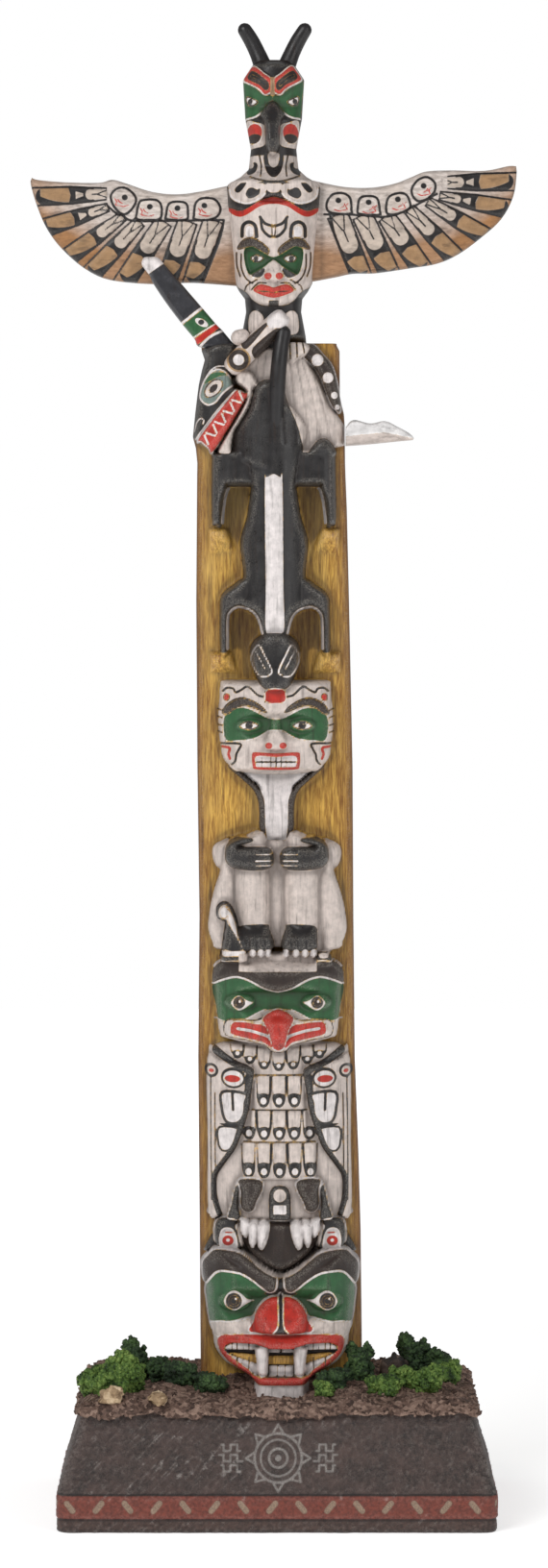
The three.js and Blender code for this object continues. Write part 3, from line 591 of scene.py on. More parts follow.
def painted_finish(name, paints, ground, streak=(1, 1, 0.09), gloss=0.5):
    """Figures' paint over a ground of wood, with painted shade and grime in the hollows, and wear and a painted
    highlight on the ridges.

    The ground is three colours: in the grain, beside it, and in pale patches; and one it tones towards.
    """
    f = Finish(name)
    grain = f.noise(0.55, 5, 0.65, streak, 0.4)
    broad = f.noise(7, 3, 0.5, (1, 1, 0.3))
    fine = f.noise(0.35, 4, 0.6)
    blotch = f.noise(2.4, 4, 0.6)
    wobble = (f.noise(1.1, 2) - 0.5) * 0.22 + (fine - 0.5) * 0.1
    dark, plain, pale, deep_tone = (paints[name] for name in ground)
    wood = f.mix(f.spread(grain, 0.36, 0.62), dark, plain)
    wood = f.mix(f.spread(broad, 0.45, 0.75) * 0.5, wood, pale)
    toned = f.shadow(f.mix(f.mark("tone"), wood, deep_tone), f.spread(grain, 0.3, 0.7, 0.8, 1.1))
    wood = f.mix(f.mark("tone").limit(), wood, toned)
    colour = wood
    for paint in PAINTS:
        tint = paints[paint]
        deep = tuple(c * 0.66 for c in tint)
        tinted = f.mix(f.spread(blotch, 0.3, 0.66), deep, tint)
        cover = (0.5 - (f.mark("paint_" + paint) + wobble) / 0.13).limit()
        colour = f.mix(cover, colour, tinted)
    # Painted shade in the hollows and where darken marked it, then a painted highlight with wear on the ridges.
    hollow = (f.mark("hollow") * f.spread(blotch, 0.2, 0.6, 0.75, 1.1)).limit() * 0.6
    colour = f.mix(f.mark("shade").at_least(hollow), colour, f.mix(0.8, colour, paints["grime"]))
    colour = f.mix((f.mark("ridge") * f.spread(fine, 0.42, 0.66)).limit() * 0.17, colour, paints["worn"])
    colour = f.shadow(colour, f.spread(grain, 0.3, 0.7, 0.86, 1.06))
    crack = f.spread(f.noise(1.2, 4, 0.6, streak), 0.56, 0.68) * 0.4
    colour = f.mix(crack, colour, paints["grime"])
    wet = (0.5 - f.mark("paint_black") / 0.4).limit() * 0.16
    rough = f.spread(blotch, 0.3, 0.7, gloss - 0.08, gloss + 0.12) - wet
    normal = f.bump(grain, 0.06, 0.5, f.bump(fine, 0.05, 0.35))
    return f.surface(colour, rough, normal, Specular_IOR_Level=0.4)


# ---------------------------------------------------------------- the figures on the log
LEAN_AT_FOOT, LEAN_FROM, LEAN_TO_A_MM, LEAN_AT_TOP = 1, 55, 0.0085, -0.9  # mm


def lean(v):
    """The casting leans a little: where its middle line is at a height."""
    return np.maximum(LEAN_AT_TOP, LEAN_AT_FOOT - LEAN_TO_A_MM * (v - LEAN_FROM))


def carve_bear(face):
    """The bear at the foot of the pole: ears, brows, snout and open mouth."""
    head = both([7.2, 30, 7.6, 35.6, 9.8, 38, 15, 40.4, 17.7, 43.8, 18.3, 46.9, 19.1, 50.7, 20, 56, 20.3, 61,
        21, 64.5, 21.1, 67.2, 19.5, 69.7, 17, 72, 12.3, 71.7, 9.9, 71, 6.8, 68.4, 4.1, 66.4, 0, 64.9])
    form = lowest(profile([(33, 24), (36.5, 24.4), (47, 24.4), (50.5, 20.5), (55, 17), (58.5, 16.6), (61.5, 20.4),
                           (67, 20), (73, 14)]), drum(-2, 26.5, 23.2))
    face.mould("cream", head, form, 2.2)
    face.colour("white", bar(29, 36, 7.4), 0)
    # Ears, hollowed, and the bowl of the forehead between them
    ear = pair([17, 78.9, 10.9, 78.7, 9.9, 71.2, 17.1, 71.7])
    face.mould("black", ear, 12.5, 0.9)
    slope = pair([17, 76, 17, 71.5, 20.5, 69.7, 19.2, 73])
    face.mould("black", slope, 8, 1)
    inner = pair([15.8, 76.4, 12.5, 76.4, 11.5, 71.2, 16.1, 71.5])
    face.colour("white", inner, 0)
    face.sink(inner.grown(-0.4), 12, 0.5)
    face.colour("red", pair_oval(14, 73.4, 1.5, 1.35), 0.1)
    face.colour("white", pair_oval(14, 73.5, 0.55, 0.5), -0.05)
    face.colour("red", pair_stroke([(12.8, 75.5), (14.6, 75.6)], 0.4), 0.1)
    face.colour("white", ear.line(0.45).without(bar(60, 72.4, 30)), 0)
    bowl = both([0, 64.9, 2, 65.4, 4.1, 66.4, 6.8, 68.4, 9.6, 71.6, 10.7, 75, 11, 78.1, 0, 79])
    face.mould("brown", bowl, drum(4, 11.5, 14), 1.6, "white", 0.6)
    # Face colours
    green = pair([20.2, 61, 17, 67, 11, 67, 4, 62, 1.8, 60, 0.5, 59.4, 4.2, 57.3, 5.6, 55.9, 6.9, 54.5, 8.3, 53.4,
        12.5, 52.3, 15.9, 52, 18, 51.4, 19.2, 50.8, 20, 55.9])
    face.colour("green", green, 0)
    face.colour("white", green.line(0.5), 0)
    eyeball = pair_oval(12.3, 58, 4.4, 2.9)
    face.lift(eyeball, 19, 2.6)
    eye = pair([15.2, 58, 14.2, 60, 12.4, 61, 10.5, 60, 8.9, 58.5, 6.7, 57.9, 8.9, 57.4, 10.5, 56.3, 12.2, 55.3,
        14.3, 56.2])
    face.colour("white", eye, -0.25)
    face.colour("black", pair_oval(12.5, 58, 2.15, 2.2))
    face.colour("brown", pair_oval(12.5, 58, 1.5, 1.55))
    face.colour("black", pair_oval(12.5, 58, 0.8, 0.85))
    face.colour("white", oval(13, 58.6, 0.35, 0.35).joined(oval(-12, 58.6, 0.35, 0.35)), -0.05)
    cheek = pair([19.2, 50.5, 18, 51.8, 15.9, 52.4, 12.5, 52.6, 8.3, 53.6, 7.5, 52.4, 7.7, 49.1, 14.6, 48.9,
        16.3, 48.2, 18.3, 48.4])
    face.mould("cream", cheek, drum(-1.4, 24.8, 22), 1.2, "white", 0.5)
    # Brows meet over the nose
    brow = pair([21.2, 67, 19.6, 69.4, 17.2, 71.5, 12.3, 71.2, 9.9, 70.4, 7.5, 68.6, 4.1, 66.5, 1.2, 64.8, 0.9, 63.1,
        1.4, 61, 2.8, 60.3, 4.1, 61, 7.5, 63.7, 11, 65.6, 14.9, 66, 17.1, 65.4, 18.8, 63.5, 20.3, 61.4, 21.1, 63.1])
    between = both([0, 64.9, 0.8, 64.8, 0.9, 62.8, 1.6, 60.8, 4.5, 60, 2.5, 59.2, 0, 59.5])
    face.colour("black", between, 0.2)
    face.mould("brown", brow, drum(-1.6, 23.6, 24), 1.5, "white", 0.6)
    face.colour("cream", pair_stroke([0, 64.4, 2, 65.2, 4.1, 66.3, 6.8, 68.3, 9.7, 71.5, 10.8, 75, 11.1, 78.1], 0.95),
        0)
    # Snout
    nose = both([7.7, 49.9, 7.4, 52.9, 6.6, 55.6, 4.8, 57.9, 2.4, 59.2, 0, 59.4])
    face.mould("red", nose, lowest(drum(13, 13.5, 9), profile([(49, 26.5), (53, 24.6), (57, 21), (60, 18.5)])), 1.2,
        "white", 0.45)
    bridge = both([0.45, 59.2, 0.5, 52.2, 1.9, 49.9, 0, 49.8])
    face.colour("white", bridge.grown(0.45), 0)
    face.colour("black", bridge, 0.15)
    # Mouth
    lips = both([7.7, 49.6, 14.5, 49.1, 16.4, 48.4, 17.1, 47, 16.8, 45.2, 15.6, 43.2, 12.4, 40.6, 9.3, 38.3,
        7.2, 36.4, 0, 36])
    gape = both([0, 45.7, 2.2, 45.7, 4.9, 46.4, 7, 46.9, 12.5, 47, 14.7, 46.2, 15.2, 45.3, 14.5, 44.2, 11.4, 41.9,
        8.6, 39.9, 6.8, 38.2, 0, 37.9])
    face.pad("red", lips, 0.9, 0.9, "white", 0.3)
    face.sink(gape, 18, 0.9)
    face.colour("black", gape, 0)
    inside = pair([14, 44.2, 6.4, 43.6, 6.4, 41.3, 9, 42, 12, 43.2], True).joined(bar(40.9, 43.3, 3.6))
    face.pad("wood", inside, 1.2, 0.3)
    teeth = [pair([14.9, 45.2, 12.5, 46.9, 7, 46.8, 7, 44.9, 10.8, 44.9]), pair([14.7, 44.2, 11.9, 43, 6.7, 41.1,
        6.7, 38.3, 8.6, 39.9, 11.4, 41.9])]
    for row in teeth:
        face.mould("white", row, 20.2, 0.5)
    for u in (8.6, 10.2, 11.8, 13.2):
        face.colour("black", pair_stroke([(u, 46.8), (u - 0.1, 44.6)], 0.28), 0.3)
        face.colour("black", pair_stroke([(u, 43), (u + 0.1, 40)], 0.28), 0.3)
    face.colour("black", pair_stroke([15, 44.8, 10.8, 44.5, 7, 44.1], 0.5), 0.5)
    front_teeth = pair([0.2, 44.1, 3.2, 44.1, 3.2, 45.8, 0.2, 45.8], True)
    lower = bar(38.1, 40.7, 3.3)
    for row in (front_teeth, lower):
        face.mould("white", row, 20, 0.4)
    face.colour("black", pair_stroke([(1.1, 37.8), (1.1, 40.9)], 0.3), 0.4)
    fangs = pair([6.8, 45.8, 3.6, 45.9, 3.5, 39.9, 3.9, 38.3, 6.2, 38.5, 6.5, 41.3])
    face.mould("white", fangs, 23.2, 0.8)
    # Painted shade round the fangs.
    face.darken(fangs.line(0.5), 0.4, 0.25)


def feather_tip(face, u, low, high, up, dot=True):
    """A narrow breast feather: a dark cup with its sides running up and a pale spot in it."""
    for side in (-1, 1):
        face.colour("black", stroke([(u + side * 1.45, low + 1.7), (u + side * 1.7, (low + up) / 2),
                                     (u + side * 1.85, up)], 0.42), 0.22)
    cup = loop([(u - 1.6, high - 0.6), (u - 1.6, low + 1.5), (u - 0.9, low + 0.2), (u, low - 0.1),
                (u + 0.9, low + 0.2), (u + 1.6, low + 1.5), (u + 1.6, high - 0.6), (u, high)])
    face.pad("black", cup, 0.3, 0.5)
    if dot:
        face.colour("white", oval(u, low + 1.65, 0.85, 0.95), -0.12)


def carve_bird_body(face):
    """The breast, folded wings and legs of the bird that stands on the bear."""
    body = both([16.6, 79.2, 18.9, 86, 18.9, 122, 17.4, 125.4, 12.5, 126.6, 0, 126.6])
    face.mould("cream", body, drum(-2, 16.6, 20.8), 1.6)
    # Breast feathers in rows that lap like shingles
    for top, bottom, reach in ((118.2, 108.9, 6.6), (108.9, 100.2, 7.4), (100.2, 90.2, 9.7)):
        row = Shape(bottom, top, lambda u, v, low=bottom, high=top, wide=reach: np.maximum(
            np.abs(u) - wide, np.maximum(low - v, v - high)))
        face.lift(row, lambda u, v, low=bottom, high=top: 14.9 + 0.9 * (high - v) / (high - low)
                  - 0.012 * u ** 2, 0.5)
        face.colour("black", stroke([(-reach, top), (reach, top)], 0.45), 0.2)
    for u in (0, 4.15, -4.15):
        feather_tip(face, u, 109.7, 113.4, 117.8)
    for u in (0, 4.05, -4.05, 8.1, -8.1):
        feather_tip(face, u, 100.9, 104.4, 108.5)
    for u in (0, 4.15, -4.15, 8.3, -8.3):
        feather_tip(face, u, 90.7, 94.8, 99.6)
    # Folded wings
    inner = [(6.6, 119.8), (7.3, 113.8), (8, 109), (9.5, 104.1), (11.6, 98.9), (15.1, 94.1), (17.2, 90.6),
        (17.5, 87.5), (17.2, 83.7), (15.9, 80.2)]
    wing = pair(inner + [(19.2, 80), (19.3, 100), (19.2, 122), (16, 122), (11, 121)])
    face.mould("cream", wing, drum(-2, 19.2, 21.4), 0.9)
    trim = [(8.7, 118.3), (9.2, 113.8), (9.3, 109), (11.2, 104.1), (13.3, 98.2), (16.3, 93.7), (17.7, 91.7),
        (18, 87.5), (17.6, 83.7), (16.4, 79.9)]
    face.colour("black", pair(inner + trim[::-1]), 0.05)
    for strip in ([(17.2, 113), (17.3, 100), (17.2, 90)], [(18.3, 118), (18.4, 100), (18.3, 84)]):
        face.colour("black", pair_stroke(strip, 0.4), 0.15)
    ovoid = pair_oval(12.2, 117.4, 3.3, 2.8)
    face.pad("black", ovoid, 0.4, 1)
    face.colour("white", pair_oval(12.2, 117.3, 2.7, 2.1), 0.1)
    face.colour("red", pair_oval(12.4, 117.2, 2.1, 0.95), -0.1)
    big = pair([15.2, 113.4, 15.3, 108.8, 14.5, 106, 12.9, 105.1, 10.8, 105.6, 9.4, 107.7, 9.1, 110.8, 8.9, 113.3])
    face.pad("white", big, 0.35, 0.8, "black", 0.75)
    face.colour("black", pair_stroke([(12.5, 113.6), (12.3, 108.8)], 0.7), 0.3)
    face.colour("black", pair([15.9, 104.9, 9.9, 104.9, 11.9, 104.1, 13.3, 102.3, 14.2, 104.2]), 0.1)
    second = pair([16, 103.9, 16.4, 99.8, 15.4, 97.7, 13.3, 98, 11.6, 100.4, 10, 103.6])
    face.edged("white", second, "black", 0.55)
    face.colour("black", pair_stroke([10.2, 105, 12, 99.3, 15.2, 94.4, 17.3, 91, 17.7, 87.5, 17.3, 83.7, 16.2, 80.3],
        1.5), -0.05)
    face.colour("black", pair_oval(18.1, 119, 1.9, 1.9), 0.1)
    face.colour("cream", pair_oval(18.1, 119, 1.2, 1.2), -0.1)
    face.colour("red", pair_oval(18.1, 118.9, 0.7, 0.5), -0.1)
    shoulder = pair([16.9, 125.6, 14.1, 123.7, 11.4, 122, 8.3, 120.8, 6.6, 119.6, 7.1, 117.9, 9.3, 119.2, 12.8, 120.8,
        15.7, 122.3, 17.9, 124.1])
    face.pad("black", shoulder, 1.2, 0.9)
    for u, low in ((0, 119.4), (3.9, 119.8), (-3.9, 119.8), (7.7, 121.2), (-7.7, 121.2), (11, 122.6), (-11, 122.6)):
        feather_tip(face, u, low, low + 2.2, 126, False)
        face.colour("white", oval(u, low + 1.3, 0.6, 0.6), 0)
    # Legs and tail
    thigh = pair([11, 90.2, 6.8, 90.7, 4.4, 89.6, 4.6, 87.1, 6.2, 83.9, 6.9, 81.9, 8.6, 81.2, 10, 81.9, 10.7, 83.6,
        10.6, 87.1])
    outer = pair([11.3, 89.6, 10.6, 87.5, 10.9, 83.7, 10.7, 79.2, 14.2, 79, 13.1, 83.4, 12.4, 86.8])
    face.mould("black", outer, 15, 0.8, "white", 0.4)
    face.mould("brown", thigh, 17.4, 2, "white", 0.55)
    tail = both([0, 88.6, 1.8, 88.1, 2.8, 86, 2.9, 80.1, 2.1, 79.1, 0, 79])
    face.mould("black", tail, 16.4, 0.7)
    face.colour("cream", oval(0, 86, 1.7, 1.75), -0.1)
    face.colour("white", bar(80.9, 83.4, 1.75), 0.1)


def carve_claws(face):
    """The bird's claws, which hook down over the bear's forehead."""
    shin = pair([10.7, 79.8, 8.1, 79.1, 8.1, 76.3, 9.2, 74.2, 10.6, 76.3])
    face.mould("white", shin, 16.4, 0.8)
    for claw in ([(8.1, 79), (5.7, 79), (5.9, 75.2), (7.3, 71.5), (8.5, 74.1)],
                 [(5.6, 79), (2.8, 78.6), (3.3, 74.1), (4.9, 71.1), (6.3, 73.4)]):
        shape = pair(claw)
        face.mould("white", shape, lowest(profile([(71, 17.4), (75, 18.9), (79.5, 18)]), drum(30, 0, 9)), 1.3)
        # Painted shade round each claw.
        face.darken(shape.line(0.4), 0.55, 0.3)


def carve_bird_head(face):
    """The bird's face, with its beak turned down over its lips."""
    head = both([5.5, 126, 14.2, 127.6, 15.7, 128.6, 16.4, 132.9, 17, 137.1, 17.2, 141.3, 17.8, 143.9, 17.3, 146.6,
        16.2, 148.3, 13.4, 149, 8.4, 148.2, 8.1, 150.8, 0, 150.8])
    form = lowest(profile([(125, 15.4), (128, 17.4), (133.5, 17.6), (137, 15), (140.4, 15.2), (142.8, 19.2),
                           (146.5, 18.6), (149, 14.5)]), drum(0, 19.2, 19.6))
    face.mould("cream", head, form, 1.6)
    green = both([(17.4, 142.5), (16.6, 136), (15.9, 132.7), (12.6, 132.5), (8.8, 133.4), (5.8, 134.9), (3.5, 135.8),
                  (0, 136.1)][::-1] + [(10, 144.4), (4, 142), (0, 141)])
    face.colour("green", green, 0)
    face.colour("white", pair_stroke([17.2, 132.9, 12.6, 132.5, 8.8, 133.4, 5.8, 134.9, 3.5, 135.9], 0.45), 0)
    face.lift(pair_oval(10.2, 137.9, 4, 2.3), 17.4, 2)
    eye = pair([12.6, 137.9, 11.4, 139.4, 10.2, 139.7, 8.8, 138.8, 7.6, 138.2, 6.4, 137.9, 7.6, 137.3, 8.8, 136.4,
        10.3, 135.7, 11.7, 136.4])
    face.colour("white", eye, -0.2)
    face.colour("black", pair_oval(10.4, 137.9, 1.6, 1.6))
    face.colour("brown", pair_oval(10.4, 137.9, 1, 1), 0.1)
    face.colour("white", oval(10.7, 138.2, 0.4, 0.4).joined(oval(-10.2, 138.2, 0.4, 0.4)), -0.05)
    brow = both([0, 146.2, 2.5, 146.4, 5.4, 147.4, 8.1, 148.4, 10.5, 149, 13.4, 149, 15.8, 148.4, 17.3, 146.6,
        17.6, 142.2, 15.2, 143.5, 11.9, 144.6, 9.3, 144.4, 6.4, 143.2, 4, 141.8, 1.7, 141, 0, 140.7])
    face.mould("brown", brow, lowest(drum(0, 20, 20.2), profile([(140.5, 19.8), (146, 19.4), (149.2, 16)])), 1.1)
    face.colour("white", pair_stroke([17.6, 142.2, 15.2, 143.5, 11.9, 144.6, 9.3, 144.4, 6.4, 143.2, 4, 141.8,
        1.7, 141, 0, 140.7], 0.6), -0.2)
    face.colour("white", pair_stroke([8.1, 148.4, 10.5, 149, 13.4, 149, 15.8, 148.4, 17.3, 146.8], 0.4), 0)
    # Mouth, lips and beak
    surround = both([0, 136, 5.3, 133.4, 10, 133.4, 14, 132.7, 14.1, 128.9, 8.9, 127.9, 6.5, 127.2, 3.6, 126.3,
        2.1, 125, 0, 124.4])
    face.mould("cream", surround, drum(0, 19.6, 19.8), 0.7, "black", 0.35)
    lips = both([0, 132, 2, 130.8, 3.7, 131.9, 5.3, 132.4, 10, 132.8, 12, 132.6, 12.7, 131.7, 12.9, 130.4,
        12.3, 129.2, 8.3, 128.3, 4.1, 127.4, 2.4, 126.2, 1.2, 125.4, 0, 125.1])
    face.mould("red", lips, drum(0.2, 20, 20), 0.9, "white", 0.35)
    face.colour("white", pair_stroke([10.9, 130.9, 7.6, 130.5, 5.3, 129.9, 2.9, 129.1, 1.8, 127.9, 0.4, 127.2], 0.8),
        0.35)
    beak = both([0, 136.2, 2, 135.6, 4.1, 134, 3.7, 132.4, 2.9, 131, 2.4, 129.4, 1.9, 127.4, 1.3, 125.9, 0, 125.3])
    face.mould("red", beak, profile([(125.4, 21.4), (129, 23.3), (132.5, 22.2), (136.2, 17.6)]), 1.3, "white", 0.35)
    band = bar(146.2, 151, 10.4)
    face.mould("cream", band, 14.6, 0.8)
    # Painted shade in the crease along the foot of the band.
    face.darken(stroke([-8, 146.6, 0, 145.9, 8, 146.6], 0.7), 0.7, 0.3)
    for u in (-6.7, -4.5, -2.5, 2.2, 4.9, 7.3, 9.6):
        toe = oval(u, 151, 0.95, 1.2)
        face.mould("white", toe, 17.6, 1)


def carve_hook(face):
    """The hooked ear that stands in front of the left leg, and the stub of its broken twin."""
    body = loop([-14.7, 164.3, -15.9, 163.1, -15.9, 160.8, -14.8, 159.9, -13.7, 159.4, -14.2, 155.5, -14.7, 151.9,
        -14.9, 148.6, -8.2, 148.4, -8.4, 151, -10.1, 155.8, -10.9, 159.3, -12.4, 163.1, -13.6, 164.3])
    face.mould("cream", body, 18.8, 1.1, "black", 0.75)
    face.colour("white", oval(-14.2, 162.1, 1.0, 1.5), -0.1)
    face.colour("white", loop([-13, 162.8, -13, 160.8, -12.7, 159, -10.7, 154.9, -10.8, 156.3, -11.5, 159.9]), 0)
    face.colour("black", loop([-13.3, 159, -14.2, 155.5, -14.4, 152.5, -9.8, 151.6, -10.4, 154.3]), 0.1)
    face.colour("white", stroke([(-14.4, 151), (-9.1, 151.2)], 1.3), 0)
    face.colour("black", stroke([(-14.6, 149.5), (-8.9, 149.5)], 1.5), 0.1)
    face.colour("white", stroke([-16.5, 147.9, -12, 148, -8.1, 147.7], 0.5), 0)
    stub = loop([10.2, 147, 10.4, 150.6, 12, 151.5, 13.9, 150.9, 14.6, 147.4])
    face.mould("black", stub, 17, 0.8)
    face.colour("cream", oval(12.3, 150.4, 1.4, 0.7), 0)


def carve_sitter(face):
    """The seated figure's neck, arms, hands, legs and feet."""
    neck = both([0, 201, 11.5, 200.5, 9.4, 199.3, 6.9, 197.2, 4.7, 195.1, 4.7, 191.9, 4.7, 184, 3.4, 181, 0, 181])
    face.mould("white", neck, 10.3, 0.8)
    side = pair([13, 200.6, 9, 197, 6.3, 194.4, 5, 191.5, 4.7, 187.8, 4.7, 184.5, 3.6, 181, 2.6, 181, 3, 184.5,
        3.1, 187.9, 3.3, 191.9, 4.7, 195.1, 6.9, 197.2, 9.4, 199.3, 11.5, 200.9])
    face.mould("brown", side, 10.6, 0.6)
    recess = bar(152, 181, 2.6)
    face.mould("cream", recess, 11.6, 0.6)
    # Painted shade between the feet, at the foot of the recess.
    face.darken(bar(150, 156.5, 2), 0.6, 1.4)
    legs = pair([1.6, 151.4, 15.5, 151.4, 17.6, 153.6, 18.6, 156.8, 18.5, 159.6, 17.9, 163.6, 16.8, 167.9,
        15.3, 172.6, 14, 180, 9, 182, 2.4, 181])
    face.mould("cream", legs, lambda u, v: np.maximum(7.5 + 8.2 * np.sqrt(np.clip(1 - ((np.abs(u) - 6.6) / 5.6) ** 2,
        0, 1)), 5.5 + 6.8 * np.sqrt(np.clip(1 - ((np.abs(u) - 13.6) / 5.4) ** 2, 0, 1))), 1.4)
    # Painted shade in the crease down each leg.
    face.darken(pair_stroke([11.7, 154, 11.5, 165, 11.2, 172], 1.1), 0.35, 0.6)
    mound = pair([2.8, 179.5, 3, 182, 5, 183.3, 7.5, 182.6, 9, 181.5, 7, 179])
    face.mould("cream", mound, 12.6, 1.4)
    sleeve = pair([12.4, 181, 14.7, 180.7, 16.8, 179.4, 17.4, 177.3, 16.9, 174.9, 15.6, 173.2, 12.1, 172.5, 11, 176])
    face.mould("cream", sleeve, drum(2, 13.2, 18), 2.4)
    hand = pair([13.9, 177.6, 13.6, 179.5, 12.4, 181.1, 10.3, 181.8, 6.5, 181.75, 6.7, 180.8, 9.2, 180.1, 9.7, 179.6,
        1.8, 179, 1.7, 173.7, 10.3, 173.4, 12.7, 174.3, 13.8, 175.8])
    face.mould("black", hand, 18.6, 1.5)
    for v in (177.5, 175.9, 174.5):
        face.colour("white", pair_stroke([(1.6, v), (5.6, v - 0.1)], 0.45), 0.35)
    foot = pair([9.9, 158.2, 3, 158.6, 2.1, 157.2, 1.2, 151.8, 9.8, 151.8, 10.6, 155])
    face.mould("black", foot, profile([(151.5, 18.2), (155, 17.8), (158.8, 14.6)]), 1.3)
    for u in (3.6, 5.7, 7.7):
        face.press(pair_stroke([(u, 151.6), (u - 0.2, 154.4)], 0.5), 0.6, 0.3)


def carve_sitter_head(face):
    """The seated figure's face."""
    head = both([3.5, 223.8, 13.6, 223.8, 14.8, 222.3, 15, 219, 15.4, 215.3, 15.3, 209.8, 14.9, 206.6, 14.2, 202.9,
        12, 200.5, 9.4, 199.3, 0, 198.6])
    form = lowest(profile([(199.5, 14), (201, 16.8), (207.5, 17), (210.5, 14.6), (213.5, 14.4), (216, 17.8),
                           (219.5, 17.4), (227, 15)]), drum(0, 17.8, 17.8))
    face.mould("cream", head, form, 1.5)
    green = both([0, 213.6, 2.2, 214, 4.8, 215.4, 7.2, 216.5, 9.3, 216.8, 11.4, 216.2, 14, 213.8, 13.5, 208,
        10, 207.8, 6.2, 208.3, 3.8, 209.3, 2, 210.4, 0, 210.7])
    bridge = both([2.3, 205.6, 2.6, 207.6, 1.5, 211, 1.2, 214.4, 0, 215])
    face.lift(bridge, profile([(205.3, 18.9), (207, 18.6), (214, 15.4)]), 1.2)
    face.colour("green", green, 0)
    face.colour("white", green.line(0.4), 0)
    face.lift(pair_oval(7.1, 212, 3.4, 2), 16.4, 1.8)
    eye = pair([9.6, 211.8, 8.4, 212.7, 7.1, 213.1, 5.9, 212.7, 4.6, 211.9, 5.7, 211.2, 7, 210.8, 8.5, 211])
    face.edged("white", eye, "black", 0.35)
    face.colour("black", pair_oval(7.1, 212, 1.0, 1.0))
    face.colour("white", oval(7.4, 212.3, 0.25, 0.25).joined(oval(-6.8, 212.3, 0.25, 0.25)), 0)
    brow = pair([14.2, 215, 13.5, 216.8, 11.5, 218.5, 9, 219.3, 6.5, 218.7, 4.1, 217.3, 2.4, 215.5, 4.2, 216,
        6.2, 216.9, 8.4, 217.3, 10.7, 216.6, 12.7, 215])
    face.press(brow, -0.6, 0.6)
    face.edged("brown", brow, "black", 0.4, 0, 0)
    face.colour("red", pair_oval(1.9, 206.6, 0.95, 0.85), 0.1)
    lips = both([0, 204.5, 5.6, 204.8, 6.4, 203.9, 6.2, 201, 5.4, 200.2, 0, 200])
    face.mould("red", lips, drum(0, 18.5, 18), 0.8)
    teeth = both([0, 203.6, 5.2, 203.8, 5.4, 201.3, 4.9, 200.9, 0, 200.8])
    face.sink(teeth, 17, 0.4)
    face.colour("white", teeth, 0)
    face.colour("black", stroke([(-5.3, 202.2), (5.3, 202.2)], 0.35), 0.3)
    for u in (-3.9, -2.6, -1.3, 0, 1.3, 2.6, 3.9):
        face.colour("black", stroke([(u, 201), (u, 203.5)], 0.26), 0.2)
    face.colour("black", pair_stroke([14.1, 221, 12.9, 221.9, 11.3, 221.7, 10.6, 220.7, 9.1, 221.4, 7.3, 222.3,
        4.8, 220.1, 2.9, 219.6], 0.6), 0.15)
    face.edged("red", pair_oval(13.1, 219.4, 0.8, 1.0, 15), "black", 0.3, 0, 0)
    face.edged("red", bar(218.2, 221, 2.6, -0.3), "black", 0.3)
    face.colour("black", pair_stroke([14.6, 207, 9.6, 207, 9.9, 205.5, 10.6, 204.2, 10.9, 202.4, 11.8, 201.4], 0.6),
        0.15)
    face.colour("red", pair_stroke([14.4, 206.1, 12.4, 205.8, 12.7, 204.2, 12.3, 202.9], 0.7), 0)
    for v in (215.9, 213.9, 211.8, 209.9):
        face.colour("black", pair_stroke([(14.4, v), (15.6, v + 0.2)], 0.45), 0.1)


def carve_wolf(face):
    """The wolf that hangs head down: its trunk and legs."""
    trunk = pair([3, 236, 5, 241, 9, 244, 9.6, 249.8, 8.4, 251.4, 8.7, 256, 9.2, 260, 8.6, 263.5, 7.4, 267, 6.6, 272,
        6.2, 277, 8, 285, 9, 292, 0.2, 296, 0.2, 236])
    middle = both([0, 300, 9, 292, 8, 285, 6.2, 277, 6.6, 272, 7.4, 267, 8.6, 263.5, 9.2, 260, 8.7, 256, 8.4, 251.4,
        9.6, 249.8, 9, 244, 5, 241, 3.2, 234, 0, 233])
    face.lift(middle, drum(3, 13.4, 11.4), 1.1)
    face.colour("black", middle.joined(trunk), 0)
    # Painted shadow in the pockets beside the front legs.
    hollow = pair([3.4, 237, 6, 242, 11, 243, 12.5, 240, 12.4, 231.5, 9.5, 231.5, 9.2, 224.8, 6, 224.4])
    face.darken(hollow, 0.86, 0.8)
    front_leg = pair([8.4, 251, 11.2, 249.3, 13.2, 247.9, 14.5, 246, 14.8, 243, 14.7, 231.3, 12.6, 231.4, 12.5, 240,
        11.6, 241.9, 10, 243, 8, 243, 6, 242, 4.5, 240.5, 3.4, 236.4, 2.8, 240, 2.8, 250])
    face.mould("black", front_leg, lambda u, v: 13.4 - 0.03 * (np.abs(u) - 9) ** 2, 1.6)
    face.colour("white", pair_stroke([12.7, 232.2, 12.6, 240, 11.8, 242.2, 10.2, 243.3, 8.2, 243.2, 6.1, 242.3,
        4.5, 240.2, 3.4, 236.4], 0.75), -0.15)
    # Painted shadow in the pockets beside the hind legs.
    below = pair([6.2, 275.6, 12.2, 275.6, 13.6, 271, 13.9, 265.3, 10.5, 260, 9.5, 258, 7.5, 266])
    face.darken(below, 0.86, 0.8)
    for low, high, inner in ((257, 264.6, 10), (225.6, 231.2, 9.8)):
        facet = Shape(low, high, lambda u, v, lo=low, hi=high, side=inner: np.maximum(
            side - np.abs(u) + 0.35 * (v - lo), np.maximum(np.abs(u) - 17.6, np.maximum(lo - v, v - hi))))
        face.lift(facet, lambda u, v, hi=high: 8 - 0.5 * (hi - v), 2.4)
        face.bare(facet)
    hind = pair([16.2, 285.1, 16.6, 283.3, 16.7, 267.2, 15.8, 265.2, 13.9, 265.1, 13.6, 271, 12.2, 275.3, 11.9, 275.6,
        6.2, 275.6, 4, 275.3, 4, 285.1])
    face.mould("black", hind, lambda u, v: 13.8 - 0.035 * (np.abs(u) - 10) ** 2, 1.5)
    face.colour("white", pair_stroke([12, 275.2, 12.5, 274.4, 13.3, 271, 13.8, 265.9], 0.75), -0.15)


